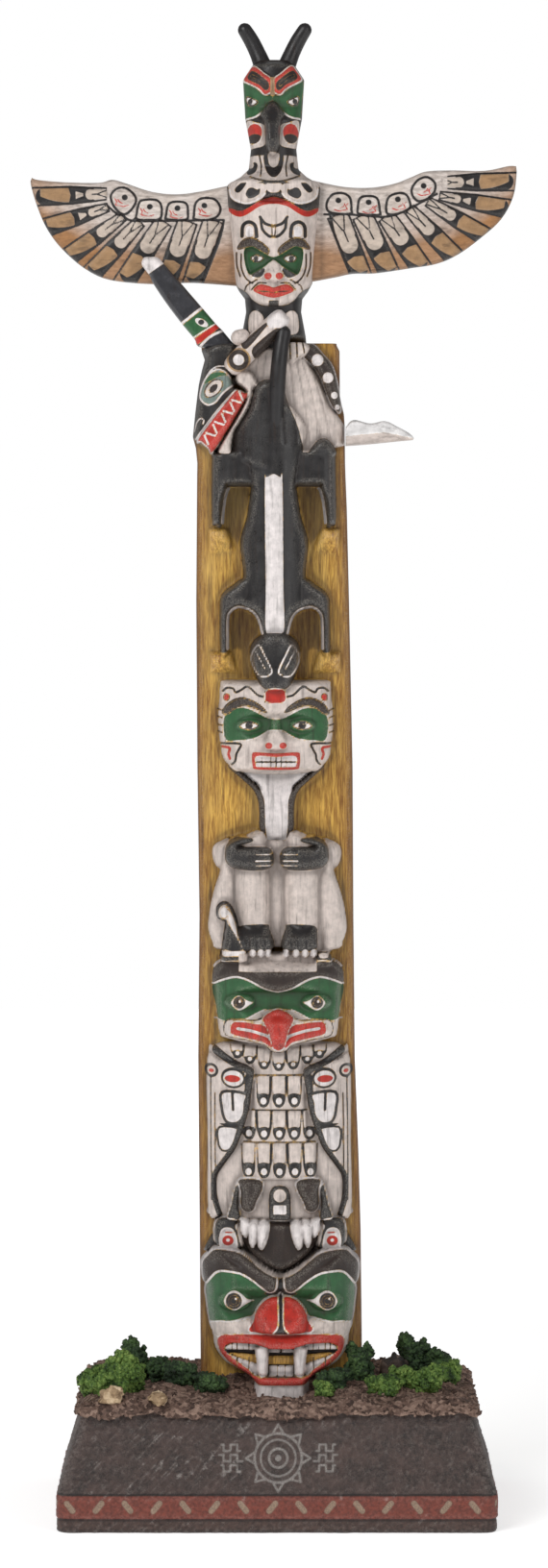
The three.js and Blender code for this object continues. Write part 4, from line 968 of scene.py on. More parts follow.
def carve_bell(face):
    """The whale's grooved belly and its band of discs."""
    bell = loop([18.8, 286.6, 19.1, 291, 18.6, 292.6, 15.4, 297.4, 13.3, 302.1, 10.5, 307.4, 7.8, 310.9, 3.7, 312.5,
        0, 313, -2, 313, -6.9, 309, -10, 306.5, -10.6, 303.5, -7.3, 300.7, -10.3, 292.5, -15.5, 285.3, 0, 284])
    form = drum(-0.6, 12.6, 21.5)
    face.mould("cream", bell, form, 1.2)
    for top, foot in ((-5.8, -12.5), (-3.9, -8.6), (-1.9, -4.8), (0.1, -1), (2, 2.8), (4, 6.4), (5.9, 9.8),
                      (7.6, 12.9), (9.3, 15.6)):
        groove = stroke([(top, 312 - abs(top) * 0.4), ((top + foot) / 2, 300), (foot, 287)], 0.55)
        face.press(groove, 0.35, 0.3)
        # Painted shade in each groove.
        face.darken(groove, 0.5, 0.3)
    band = loop([8.1, 312.7, 10.5, 313.8, 13.3, 311, 15.9, 307.6, 17.6, 301.1, 18.1, 296.3, 17.1, 295.4, 15, 298,
        12.6, 304.2, 10.5, 307.6, 7.8, 310.3])
    face.mould("brown", band, 12.2, 1.1, "white", 0.45)
    for u, v, r in ((11.7, 309.3, 1.6), (14.5, 304.6, 1.45), (16.2, 299.9, 0.95), (17, 296.8, 0.7)):
        disc = oval(u, v, r, r)
        face.pad("white", disc, 0.6, 0.7)
        face.press(oval(u, v, r * 0.45, r * 0.45), 0.4, 0.4)


def carve_rump(face):
    """The wolf's hind quarters and back, in front of the belly above it."""
    rump = loop([-11.5, 284, -11.2, 287, -10.6, 290.1, -9.2, 292.4, -6.6, 296.6, -5.3, 301.4, -4.2, 303.1,
        -1.5, 304.2, 2.6, 303, 2.8, 301.4, 4, 297.3, 5.7, 293.5, 7.1, 289.1, 7.4, 284, 0, 280])
    face.mould("black", rump, drum(2, 14.4, 12.4, -1.5), 1.6)
    knee = loop([9.8, 284.5, 10.9, 287, 12.4, 288.3, 14.3, 288.3, 16.3, 286.2, 16.3, 284])
    face.mould("black", knee, 14, 1.6)
    back = both([2.2, 236.2, 2.35, 250, 2.35, 277, 1.7, 278, 0, 278.9])
    face.pad("white", back, 0.5, 0.8)
    head = both([0, 236.6, 2.9, 236.3, 5.5, 234.7, 6.7, 232.3, 6.9, 229.3, 5.9, 226.2, 4.1, 222.8, 1.8, 221.2, 0, 221])
    face.mould("black", head, drum(7.6, 12.4, 8.4), 1.4)
    ears = pair([4.4, 233.4, 6, 231.5, 6.4, 229.1, 4.9, 226, 3.3, 225, 1.3, 225.6, 1, 226.9, 2.9, 230.9])
    face.pad("black", ears, 0.5, 0.7, "white", 0.5)
    face.colour("white", pair_stroke([(5.1, 231.6), (2.7, 227)], 0.4), 0.1)
    tongue = both([2.4, 218.2, 2.5, 221.2, 1.2, 221.7, 0, 221.9])
    face.mould("red", tongue, 17.4, 0.9, "white", 0.35)


def carve_whale_head(face):
    """The whale's head at the left, with its eye and open mouth."""
    head = loop([-19.3, 312, -18.4, 309.7, -19.3, 306.7, -20.1, 303.3, -20.5, 299.9, -21, 295.4, -21.6, 289.4,
        -20.8, 288.1, -17, 285.2, -15.5, 285.3, -7.4, 299.6, -10.4, 302.3, -11.2, 307, -10.8, 309.3, -9.9, 311.2,
        -9.9, 314, -15, 314])
    face.mould("black", head, lambda u, v: 14 - 0.06 * (u + 14) ** 2, 1.4)
    eye = loop([-19.6, 299.2, -19.3, 301.8, -17.8, 304.8, -15.6, 306.6, -13.3, 306.3, -11, 304, -10.6, 302.9,
        -13.3, 300.7, -15.6, 298, -17.8, 297.4])
    face.pad("teal", eye, 0.5, 1, "white", 0.5)
    face.colour("green", loop([-18.6, 303, -16.6, 305.6, -13.6, 306, -12.4, 305.2, -14.6, 304.9, -17, 303.6]), 0)
    face.colour("white", stroke([-18.6, 303.7, -16.3, 306.9, -13.3, 307.6, -10.3, 305.3, -9.5, 303.7], 0.4), 0)
    face.edged("cream", oval(-16, 301.7, 2.9, 1.75, 45), "black", 0.4)
    face.edged("brown", oval(-16, 301.7, 1.5, 0.95, 45), "white", 0.3)
    mouth = loop([-20.4, 287.9, -15.5, 294.6, -10.7, 300.6, -9.5, 301.4, -7.6, 300.6, -6.9, 299.5, -15.6, 285.3,
        -17.6, 286, -19.3, 287.5])
    face.mould("red", mouth, 15.4, 0.9, "white", 0.4)
    bite = [(-17.9, 288), (-8.7, 299.7)]
    gap = stroke(bite, 2.3)
    face.sink(gap, 14.8, 0.5)
    for k in range(9):
        share = k / 8
        u, v = (bite[0][n] + (bite[1][n] - bite[0][n]) * share for n in (0, 1))
        lean_way = 1.2 if k % 2 else -1.2
        face.colour("white", stroke([(u - 0.85 - 0.3 * lean_way, v + 0.75 - 0.3 * lean_way),
                                     (u + 0.85 + 0.3 * lean_way, v - 0.75 + 0.3 * lean_way)], 0.6), -0.3)
    strip = loop([-9.4, 306.5, -9.9, 303.4, -7, 300.4, -8.5, 296.6, -11, 292.4, -14.4, 286.4, -14.6, 284.6,
        -11.6, 284.6, -11.3, 287, -10.7, 290.1, -9.3, 292.4, -6.7, 296.6, -5.4, 301.4, -4.3, 303.1, -6, 306])
    face.mould("cream", strip, 14.4, 0.9)
    face.colour("white", stroke([-20.9, 288.2, -15.4, 295.4, -9.6, 302], 0.4), -0.1)
    face.colour("white", stroke([-21.2, 290.2, -20.6, 292.6, -19.4, 293.8, -18.6, 293.2, -18.9, 292.2], 0.4), 0)


def carve_toes(face):
    """The bird's other foot, which grips the belly beside the tail."""
    foot = loop([3.2, 314.5, 3.4, 309.5, 5, 308.3, 6.6, 309.6, 8.4, 310.4, 9.6, 312.6, 8, 314.5])
    face.mould("cream", foot, 13.4, 1.2)
    for line in ([(4.3, 314.3), (4.5, 309.6)], [(6.1, 314.3), (6.3, 310)], [(7.6, 314.3), (8.2, 311.2)]):
        face.colour("brown", stroke(line, 0.45), 0.3)


def carve_top_bird(face):
    """The narrow body of the bird at the top, with a face on its belly."""
    body = bar(306, 357, 20)
    face.colour("black", body, 0)
    # Pale legs under the face, in front of the dark belly
    legs = pair([6.6, 317, 6.4, 321.3, 4.6, 322.4, 2.8, 320.8, 2.8, 317.4, 4.6, 316])
    face.pad("cream", legs, 0.5, 0.8)
    # Breast: collar, white arcs and a red wave
    red = both([(13.4, 353), (12.7, 350.6), (11.2, 348.4), (8.9, 347.4), (6.7, 348.1), (3.8, 349.9), (1, 350.6),
                (0, 350.6)][::-1] + [(13.4, 356), (0, 356)])
    collar = both([0, 357, 13.4, 357, 13.3, 351.2, 10.9, 349.6, 8.9, 348.9, 6.6, 349.7, 3.5, 351.5, 1, 352.3, 0, 352.5])
    cheeks = both([0, 351, 13.6, 353, 13, 340, 10.5, 331.1, 9.6, 329, 7.2, 327.3, 5.6, 325.3, 3.6, 324, 1.3, 323.6,
        0, 323.6])
    face.mould("cream", cheeks, drum(3.4, 12.8, 12.2), 1.1)
    face.colour("red", red, 0.1)
    face.mould("black", collar, drum(2.6, 12.6, 15), 0.8)
    arc = [(11.8, 354.9), (11.3, 352.9), (9.5, 351.5), (6.6, 350.9), (3.6, 352.1), (2.3, 353.4)]
    inside = pair(arc + [(2.8, 356), (11.6, 356.4)])
    face.colour("cream", inside, 0)
    face.colour("white", pair_stroke(arc, 0.6), -0.2)
    for mark in ([(10.4, 354.7), (8, 356.8), (7.4, 355.9), (9.2, 353.8)],
                 [(6.8, 354.7), (5.7, 355), (4.2, 354.4), (3.6, 355), (3.9, 353.2), (6.3, 352.1), (7.4, 353.2)]):
        face.colour("black", pair(mark), 0.15)
    face.colour("cream", both([0, 356, 2.1, 356, 1.5, 354, 0, 353.6]), -0.1)
    # Face
    face.colour("black", pair_stroke([8.4, 342.2, 8.2, 344.9, 6.6, 345.9, 4.9, 344.8, 4.5, 341.9], 0.95), 0.15)
    face.colour("white", pair([7.4, 342.2, 7.4, 344.2, 6.5, 344.9, 5.6, 344.1, 5.5, 342]), -0.1)
    for line in ([(2.8, 332.6), (4.4, 330.6), (7, 329.2), (7.7, 327.8)], [(8.6, 337.5), (8.6, 334), (7.4, 331),
            (5.6, 329.6)], [(9.9, 338), (9.8, 334.6), (8.9, 331.6)]):
        face.colour("brown", pair_stroke(line, 0.42), 0.15)
    crescent = both([0, 344.7, 0.7, 344.8, 2.4, 345.5, 3.6, 347.1, 3.4, 346.6, 3, 343.9, 1.3, 342.1, 0, 341.9])
    face.edged("cream", crescent, "black", 0.75, 0, 0)
    face.colour("brown", both([0, 344.9, 0.5, 344.9, 0.3, 342, 0, 342]).line(0.3), 0.1)
    # Painted shade along the lower edge of the cheeks.
    face.darken(pair_stroke([10.6, 334, 9.6, 329, 7.2, 327.3, 5.6, 325.3, 3.6, 324, 0, 323.6], 0.9), 0.45, 0.5)
    brow = pair([9.6, 339, 8.2, 341.1, 5.9, 341.7, 3.4, 340.5, 1.3, 338.6, 1.7, 337.2, 3.6, 338.2, 5.4, 339.1,
        7.1, 339.1])
    face.press(brow, -0.7, 0.7)
    face.edged("brown", brow, "black", 0.35, 0, 0)
    under = pair([7.6, 334.3, 6.2, 331.6, 3.8, 330.9, 2.6, 331.9, 2.2, 333.6, 4.3, 333.4, 6, 332.2])
    face.edged("black", under, "white", 0.4)
    green = both([0, 336.5, 1.8, 337.1, 4.8, 339, 6, 339.4, 7.8, 338.6, 7.6, 334.9, 6.5, 332, 4.8, 332.6, 2.4, 334,
        1.3, 334.9, 0, 335.5])
    face.sink(green, lambda u, v: 14.4 - 0.05 * u * u, 1)
    face.colour("green", green, 0)
    eye = pair([6.1, 336.3, 5.1, 337.1, 3.8, 337, 2.7, 336.3, 3.7, 335.4, 5.1, 335.4])
    face.pad("white", eye, 0.8, 1, "black", 0.35)
    face.colour("black", pair_oval(4.7, 336.2, 0.65, 0.65))
    nose = both([0, 335.8, 0.9, 335.1, 1.9, 333.3, 2.6, 331.2, 1.6, 330.2, 0, 330])
    face.mould("cream", nose, profile([(330, 17.6), (332, 18), (336, 15.8)]), 1)
    face.colour("red", pair_oval(1.5, 331.4, 1.0, 0.9), 0.1)
    lips = both([0, 328.4, 1.6, 328.9, 3.8, 329.2, 5.4, 327.8, 4.2, 326.9, 1.8, 326, 0, 325.7])
    face.pad("red", lips, 0.8, 0.7)
    face.colour("black", pair_stroke([5.9, 327.9, 4, 329.7, 1.9, 329.6], 0.4), 0.1)
    face.colour("black", pair_stroke([(0.2, 327.1), (4.4, 327.6)], 0.4), 0.3)
    face.colour("black", bar(321.8, 325, 1.3), 0.1)
    below = both([0, 323.4, 1.3, 323.4, 3.6, 323.8, 5.6, 325.1, 7.2, 327.1, 9.6, 328.8, 10.4, 329, 12, 324, 12, 316,
        0, 316]).without(legs)
    face.colour("black", below, 0)


def carve_top_head(face):
    """The top bird's neck, face and beak."""
    off = 0.3  # the head stands a little to one side

    def moved(points):
        return [(u - off, v) for u, v in as_pairs(points)]

    def mirrored(points, make, *rest):
        left = make([(-u - off, v) for u, v in as_pairs(points)], *rest)
        return make(moved(points), *rest).joined(left)
    face.colour("cream", bar(356.4, 364.2, 20), 0)
    face.colour("black", bar(363.9, 400, 20), 0)
    cheek = mirrored([7.1, 372.9, 4.4, 372.6, 2.1, 371.6, 1.8, 368.6, 2.1, 366.6, 4.6, 365.9, 6.6, 366.6], loop)
    face.colour("cream", cheek, 0)
    spot = mirrored([7.2, 369.9, 6.4, 371.8, 4.7, 372.4, 3, 371.4, 2.6, 369.6, 3.4, 367.6, 4.9, 367, 6.4, 367.8], loop)
    face.pad("red", spot, 0.4, 0.8, "white", 0.4)
    face.colour("brown", mirrored([6.7, 369, 4.9, 369.6, 3.1, 369, 3.7, 367.6, 4.9, 367.1, 6.1, 367.6], loop), 0.15)
    green = mirrored([8.3, 383.8, 5.8, 382.8, 3.4, 380.7, 2.1, 379.7, 0.2, 379.6, 0.2, 378.2, 1.4, 377, 3.4, 374.9,
        5.2, 374, 7.4, 374, 7.9, 379.1], loop)
    face.sink(green, lambda u, v: 9.9 - 0.02 * u * u, 1)
    face.colour("green", green, 0)
    eye = mirrored([6.8, 379.6, 5.4, 379, 4, 378.1, 5.2, 377.2, 6.5, 377.4, 7, 378.5], loop)
    face.pad("white", eye, 0.8, 1, "black", 0.35)
    face.colour("black", oval(6 - off, 378.2, 0.65, 0.7).joined(oval(-6 - off, 378.2, 0.65, 0.7)), 0.1)
    face.colour("white", mirrored([0.8, 377.8, 1.9, 376.2, 3.4, 374.8, 5.2, 373.9, 7.4, 373.8], stroke, 0.55), -0.1)
    brow = mirrored([5.7, 387.7, 4.6, 387.6, 2.1, 385.4, 0.3, 383.9, 0.3, 380.8, 2.1, 379.9, 3.7, 381.4, 7.4, 383.6,
        7.7, 384.8, 6.4, 386.7], loop)
    face.pad("red", brow, 0.9, 1, "white", 0.4)
    face.colour("brown", mirrored([6, 386.2, 4.7, 386.1, 2.3, 384.2, 1, 382.9, 1, 381.4, 2, 381, 3.6, 382.4,
        6.6, 384.2], loop), 0.2)
    face.colour("black", mirrored([2, 382.4, 4, 384.2, 5.6, 385], stroke, 0.7), 0.15)
    face.colour("tan", bar(379.7, 384.4, 0.55, -off), 0)
    cap = both([0, 384.8, 2, 385.9, 3.4, 387.9, 1.5, 389.4, 0, 389.4])
    face.colour("black", cap, 0)
    edge = [(1.3, 377.6), (3.2, 374.7), (2.3, 372.8), (2, 369), (1.6, 365.4)]
    beak = loop([(u - off, v) for u, v in [(0, 378.3)] + edge + [(0, 363.7)] + [(-u, v) for u, v in edge[::-1]]])
    face.mould("black", beak, lowest(profile([(363.8, 15.4), (367.6, 17.8), (372, 16.2), (378, 11.4)]),
        drum(8, 10, 3.6, -off)), 1.2)
    # Neck
    cup = both([0, 364.2, 2.6, 363.9, 2.1, 360, 0.8, 358.1, 0, 357.9])
    face.colour("black", cup, 0.1)
    face.colour("cream", both([0, 364.4, 1.5, 364.2, 1.2, 361.6, 0, 360.6]), -0.1)
    face.colour("black", pair([6.8, 362, 4.4, 361.8, 4.9, 359.4, 7, 358.8]), 0.1)
    face.colour("cream", pair_oval(6, 361.4, 0.7, 0.8), -0.1)
    face.colour("black", pair_stroke([3.9, 364.3, 3.3, 361, 3.5, 358.2], 0.4), 0.1)
    face.colour("black", stroke([-6.4, 358.1, -3, 356.9, 0.1, 356.6, 3.2, 356.9, 6.9, 358.4], 0.55), 0.2)
    # Painted shade at the foot of the beak.
    face.darken(bar(363.6, 366, 20), 0.3, 0.5)


# ---------------------------------------------------------------- the pole
LEFT_HALF = ((34, 21.8), (75, 21.7), (122, 21.7), (160, 21), (200, 21.2), (245, 21.1), (282, 20.5), (286, 20.9),
             (289, 21.7), (295, 21.1), (300, 20.5), (303, 20.1), (306.7, 19.3), (309.7, 18.5), (312, 19.3), (314, 19.5))
RIGHT_HALF = ((34, 21.9), (75, 21.8), (95, 21.4), (122, 20.6), (160, 20.5), (200, 20.6), (245, 20), (270, 19.6),
              (282, 19.2), (292, 19.1), (295, 18.9), (298, 18.2), (300, 17.8), (312, 17.7), (313.6, 16.9))
TOP_HALF = ((308, 8.8), (312, 9), (316, 8.6), (318.2, 8.2), (322.5, 7.4), (326, 7.7), (328, 9.2), (330, 10.3),
            (331.4, 10.6), (336, 10.9), (344, 11.8), (350, 12.6), (355.5, 13), (356.75, 12), (358.5, 9), (360.6, 6.7),
            (366, 6.1), (372.1, 7.2), (374.2, 7.6), (384.5, 8.2), (388.2, 5.8), (389.3, 5))
TOP_BACK = ((308, 5), (330, 6), (350, 6.3), (358, 4.2), (366, 4), (374, 5), (384, 5), (388.2, 3.6), (389.4, 1.6))
TOP_FRONT = ((308, 14), (328, 14), (357, 14.1), (358.6, 12), (361, 9.6), (367, 10.4), (373, 11.6), (377, 9.4),
             (383.6, 11.8), (388, 10.4), (389.3, 6))
LOG_FOOT, LOG_TOP, TOP_FOOT, TOP_TOP = 32.3, 314, 308, 389.5  # mm, the log and the narrow top that stands on it
HORNS_AT = -0.6  # mm, the middle line between the horns
LOG_WRAP, TOP_WRAP = 0.864, 1.4  # radians, how closely the columns gather at the sides
LOG_BACK = ((21, 2), (20.6, 6), (19.5, 10), (17, 12.8), (13, 14), (6, 14.3), (0, 14.4))


def at_heights(table, heights):
    return np.interp(heights, *zip(*table))


def log_heights(fine, coarse):
    """The heights of the log's rings: close together over the fine carving."""
    zones = ((LOG_FOOT, 34, coarse), (34, 150, fine), (150, 199, coarse), (199, 225, fine), (225, 270, coarse),
             (270, LOG_TOP, fine))
    return np.concatenate([np.arange(low, high - step / 3, step) for low, high, step in zones] + [[LOG_TOP]])


def log_shell(piece, fine, coarse, columns, grain):
    """The log from the soil up to the whale, with its figures."""
    heights = log_heights(fine, coarse)
    t = np.linspace(-1, 1, columns)
    swing = np.sin(LOG_WRAP * t) / math.sin(LOG_WRAP)
    left, right = at_heights(LEFT_HALF, heights)[:, None], at_heights(RIGHT_HALF, heights)[:, None]
    u = np.where(swing < 0, left, right) * swing
    v = np.broadcast_to(heights[:, None], u.shape)
    face = Face(u, v, 1 + 3.7 * np.sqrt(np.clip(1 - np.abs(u / 21.9) ** 5, 0, 1)), heights)
    for carve in (carve_sitter, carve_hook, carve_bird_body, carve_bird_head, carve_bear, carve_claws,
            carve_sitter_head, carve_wolf, carve_bell, carve_rump, carve_whale_head, carve_toes):
        carve(face)
    # The ground tones darker towards the log's sides.
    rounding, darkening_width, side_darkening = 1.6, 7.5, 0.95
    edge = np.minimum((u + left) / rounding, (right - u) / rounding)
    face.tone = np.clip(1 - edge * rounding / darkening_width, 0, 1) * side_darkening
    face.depth = 1 + (face.depth - 1) * rise(-np.clip(edge, 0, 1), 1.0)
    streak = lattice_noise(3, u / 0.8, v / 7) + 0.6 * lattice_noise(4, u / 1.9, v / 3.2)
    face.depth += grain * streak * np.clip(edge, 0, 1)
    rear_u = [x / 21 for x, y in LOG_BACK] + [-x / 21 for x, y in LOG_BACK[-2::-1]]
    rear_y = [y for x, y in LOG_BACK] + [y for x, y in LOG_BACK[-2::-1]]
    across = np.array(rear_u)[None, :]
    rear = np.where(across > 0, right, left) * across
    ridge = 0.35 * lattice_noise(5, rear / 3.1, heights[:, None] / 26)
    back = np.broadcast_to(np.array(rear_y)[None, :], rear.shape) * (1 + 0.012 * ridge)
    place_u = np.hstack([u, rear]) + lean(heights)[:, None]
    place_y = np.hstack([-face.depth, back])
    level = np.broadcast_to(heights[:, None], place_u.shape)
    piece.shell(np.stack([place_u, place_y, level], axis=-1), face.marks(rear.shape))


def top_shell(piece, step, columns):
    """The narrow bird that stands on the log."""
    heights = np.concatenate([np.arange(TOP_FOOT, TOP_TOP - 0.1, step), [TOP_TOP]])
    half = at_heights(TOP_HALF, heights)[:, None]
    t = np.linspace(-1, 1, columns)
    swing = np.sin(TOP_WRAP * t) / math.sin(TOP_WRAP)
    u = half * swing
    v = np.broadcast_to(heights[:, None], u.shape)
    front = at_heights(TOP_FRONT, heights)[:, None]
    form = np.where(v < 357.2, 1.5 + 12.6 * np.sqrt(np.clip(1 - (u / 15.5) ** 2, 0, 1)),
                    front * np.sqrt(np.clip(1 - (u / (half * 1.12)) ** 2, 0, 1)) ** 0.8)
    form = np.minimum(form, front) - 3.4 * np.clip((315.4 - v) / 1.2, 0, 1)
    face = Face(u, v, form, heights)
    carve_top_bird(face)
    carve_top_head(face)
    face.depth *= (1 - np.clip(np.abs(swing), 0, 1) ** 9) ** 0.4
    streak = lattice_noise(6, u / 0.8, v / 6)
    face.depth += 0.035 * streak * (1 - np.abs(swing) ** 6)
    turn = np.linspace(0, math.pi, 20)[1:-1]
    rear_u = half * np.cos(turn)[None, :]
    rear_y = at_heights(TOP_BACK, heights)[:, None] * np.sin(turn)[None, :] ** 0.8
    place_u = np.hstack([u, rear_u]) + LEAN_AT_TOP
    place_y = np.hstack([-face.depth, rear_y])
    level = np.broadcast_to(heights[:, None], place_u.shape)
    piece.shell(np.stack([place_u, place_y, level], axis=-1), face.marks(rear_u.shape, "black"))


def talon_shell(piece):
    """The leg that crosses in front of the whale's head, its ringed foot at the left."""
    start, end, half = np.array((-12.4, 307)), np.array((2.0, 321.3)), 2.9
    way = (end - start) / np.linalg.norm(end - start)
    side = np.array((-way[1], way[0])) * half

    def spot(along, off):
        return tuple(np.array((-10.2, 309.2)) + way * along + side / half * off)
    face, close = plate([start + side * 0.5 - way * 0.8, start + side * 0.95 + way * 1.2, (start + end) / 2 + side,
                         end + side * 0.95 - way * 1.5, end + side * 0.45 + way * 0.5],
                        [start - side * 0.5 - way * 0.8, start - side * 0.95 + way * 1.2, (start + end) / 2 - side,
                         end - side * 0.95 - way * 1.5, end - side * 0.45 + way * 0.5],
                        (16.6, 17.6, 16.4), (8, 8), 62, 30, 8, 1.7)
    face.colour("cream", bar(300, 326, 30), 0)
    for strip in ([spot(3.2, 2.2), spot(4.6, 2.5), spot(11.6, 2), spot(12.2, 1.2), spot(10, 0.9), spot(3.8, 0.5)],
                  [spot(3.4, -2.3), spot(5, -0.4), spot(12, -0.9), spot(14.2, -1.9), spot(13, -2.8), spot(4.4, -2.9)]):
        face.colour("brown", loop(strip), 0.2)
    tip = oval(*spot(14.8, 0), 3.1, 3.1)
    face.press(tip, -0.4, 1.2)
    face.colour("white", tip.without(bar(300, 317.6, 30)), 0)
    ring = oval(*spot(0, 0), 2.95, 2.95)
    face.pad("brown", ring, 0.5, 1, "tan", 0.4)
    face.colour("white", oval(*spot(0, 0), 1.5, 1.5), -0.35)
    close(piece, "cream")


def build_pole(settings, finish):
    piece = Piece()
    log_shell(piece, settings.fine_step / MM, settings.coarse_step / MM, settings.columns, settings.grain / MM)
    top_shell(piece, settings.fine_step / MM * 0.95, 85)
    talon_shell(piece)
    # Horns, the tail that comes down the belly, and the knuckle on the talon
    tubes = [([(-0.6, -12.4, 281), (-0.4, -13.7, 290), (-0.1, -15.1, 299), (0.6, -16, 309), (1.7, -15.2, 316.4)],
        (2.8, 2.5, 2.2, 2.1, 2.0), 20, "black"), ([(-10.2, -14.6, 315.2), (-9.2, -14.8, 315.5)], (2.1, 2.0), 16,
        "cream")]
    horn = ((2.9, -2.4, 387.4), (4.5, -1.9, 391.4), (6.2, -1.5, 394.9), (8, -1.4, 397.85))
    for side in (1, -1):
        path = [(HORNS_AT + side * u, y, z) for u, y, z in horn]
        tubes.insert(0, (path, (2.5, 2.15, 2.05, 1.9), 20, "black"))
    for path, radii, around, paint in tubes:
        rings = tube(path, radii, around)
        piece.shell(rings, even_marks(rings, paint))
    settle("pole", piece, finish)


# ---------------------------------------------------------------- wings and fins
# Feathers: root, tip, half width at the root, middle and tip, and the share of its length where the bar comes
LEFT_WING = {
    "name": "wing_left", "side": -1,
    "top": [(-11.4, 356.5), (-14.5, 355.9), (-20.3, 354.7), (-26.9, 353.9), (-33.6, 354.6), (-40.7, 356.9),
            (-44.2, 357.8), (-47.6, 357), (-56.2, 357.1), (-63.7, 357.7), (-65.6, 358.3)],
    "bottom": [(-9.8, 329.3), (-22.5, 330.2), (-33.6, 329.9), (-44.7, 331), (-51.3, 333.9), (-57.5, 339.2),
               (-61.5, 344.5), (-64.1, 350.3), (-65.7, 355.5), (-66, 357.4)],
    "faces": [[(-44.3, 353.8), (-42.8, 355.3), (-40.6, 355.5), (-38.4, 353.9), (-37.7, 351.8), (-39.3, 349.3),
               (-41.2, 348.4), (-43.2, 350), (-44.3, 352.1)],
              [(-37.5, 348.8), (-36.8, 351.6), (-35.3, 352.3), (-32.2, 352.2), (-30.9, 350.5), (-31.2, 347.3),
               (-34.4, 346.9), (-37.4, 347.1)],
              [(-29.7, 348), (-28.9, 351.2), (-26.4, 351.8), (-24.2, 351.2), (-23.8, 348.8), (-24.1, 347.1),
               (-26.5, 346.9), (-29.6, 347.1)],
              [(-22.2, 348.3), (-21.7, 351.4), (-19.8, 352.7), (-16.7, 352.4), (-15.1, 350.1), (-15.9, 347.9),
               (-18.3, 346.9), (-22, 347.1)]],
    "dots": [(-40.7, 352.9), (-34, 350.4), (-26.6, 350), (-19.4, 350.7)],
    "divider": [(-45.2, 350.6), (-42.8, 348.6), (-41.2, 348.1), (-38.4, 346.7), (-27, 346.7), (-14.5, 346.9)],
    "feathers": [((-45.4, 353.9), (-64.2, 353.2), 1.5, 2.3, 2.4, 0.31),
                 ((-45.2, 350.3), (-62.1, 344.9), 1.1, 2.1, 2.5, 0.31),
                 ((-41.2, 347.8), (-56.2, 336.9), 1.3, 2.2, 2.5, 0.45),
                 ((-36.7, 346.4), (-49.6, 332.8), 1.6, 2.4, 2.6, 0.48),
                 ((-30.2, 346.4), (-40.6, 330.8), 2.3, 2.7, 2.7, 0.52),
                 ((-23.9, 346.5), (-29.6, 330.4), 2.6, 2.7, 2.6, 0.58),
                 ((-17, 346.8), (-22.6, 330.4), 2.7, 2.7, 2.5, 0.62)],
}
RIGHT_WING = {
    "name": "wing_right", "side": 1,
    "top": [(9.6, 357.6), (17.9, 355.9), (25.4, 355.7), (31.6, 356.8), (36, 358.5), (40, 360), (46.7, 360.3),
            (55.6, 360.2), (61.8, 361.4), (64, 361.4)],
    "bottom": [(8.2, 330.3), (15.7, 331.7), (20.1, 332.6), (26.7, 332.8), (35.6, 334.1), (42.3, 335.2), (48, 337.5),
               (54.2, 341.9), (60, 347.2), (63.3, 353.4), (64.2, 359.8)],
    "faces": [[(19.9, 349.6), (19.6, 352.6), (17.8, 354), (14.9, 353.7), (13.3, 351.4), (13.7, 349.2),
               (16.4, 348.5), (19.7, 348.6)],
              [(27.5, 349.4), (26.8, 352.6), (24.5, 353.3), (22.2, 352.7), (21.6, 350), (21.8, 348.6),
               (24.5, 348.3), (27.4, 348.3)],
              [(35.6, 351.4), (34.6, 353.6), (32.6, 354.1), (30.1, 353.2), (29.2, 350.9), (29.6, 348.5),
               (32.4, 348.6), (35.4, 350)],
              [(42.3, 356.6), (40.4, 358.3), (38.2, 357.9), (36.3, 355.9), (36.1, 353.8), (37.6, 352),
               (39.8, 352.4), (41.9, 354.2)]],
    "dots": [(16.4, 352.1), (24.5, 351.6), (32.3, 352.4), (39.2, 356)],
    "divider": [(12.6, 348.4), (20.1, 348.3), (29.8, 347.8), (36.4, 350.5), (42.8, 353.9)],
    "feathers": [((44.2, 356.9), (62.9, 357.2), 1.5, 2.3, 2.4, 0.31),
                 ((43.6, 353.4), (61.6, 350), 1.1, 2.1, 2.5, 0.31),
                 ((40.4, 351.8), (56.4, 342.2), 1.3, 2.2, 2.5, 0.45),
                 ((35.4, 349.7), (48.2, 336.4), 1.6, 2.4, 2.6, 0.48),
                 ((29.2, 347.8), (38.9, 333.8), 2.3, 2.7, 2.7, 0.52),
                 ((22.8, 348.1), (30.2, 332.6), 2.7, 2.8, 2.7, 0.58),
                 ((16.2, 348.2), (22.6, 332), 2.8, 2.8, 2.7, 0.62)],
}


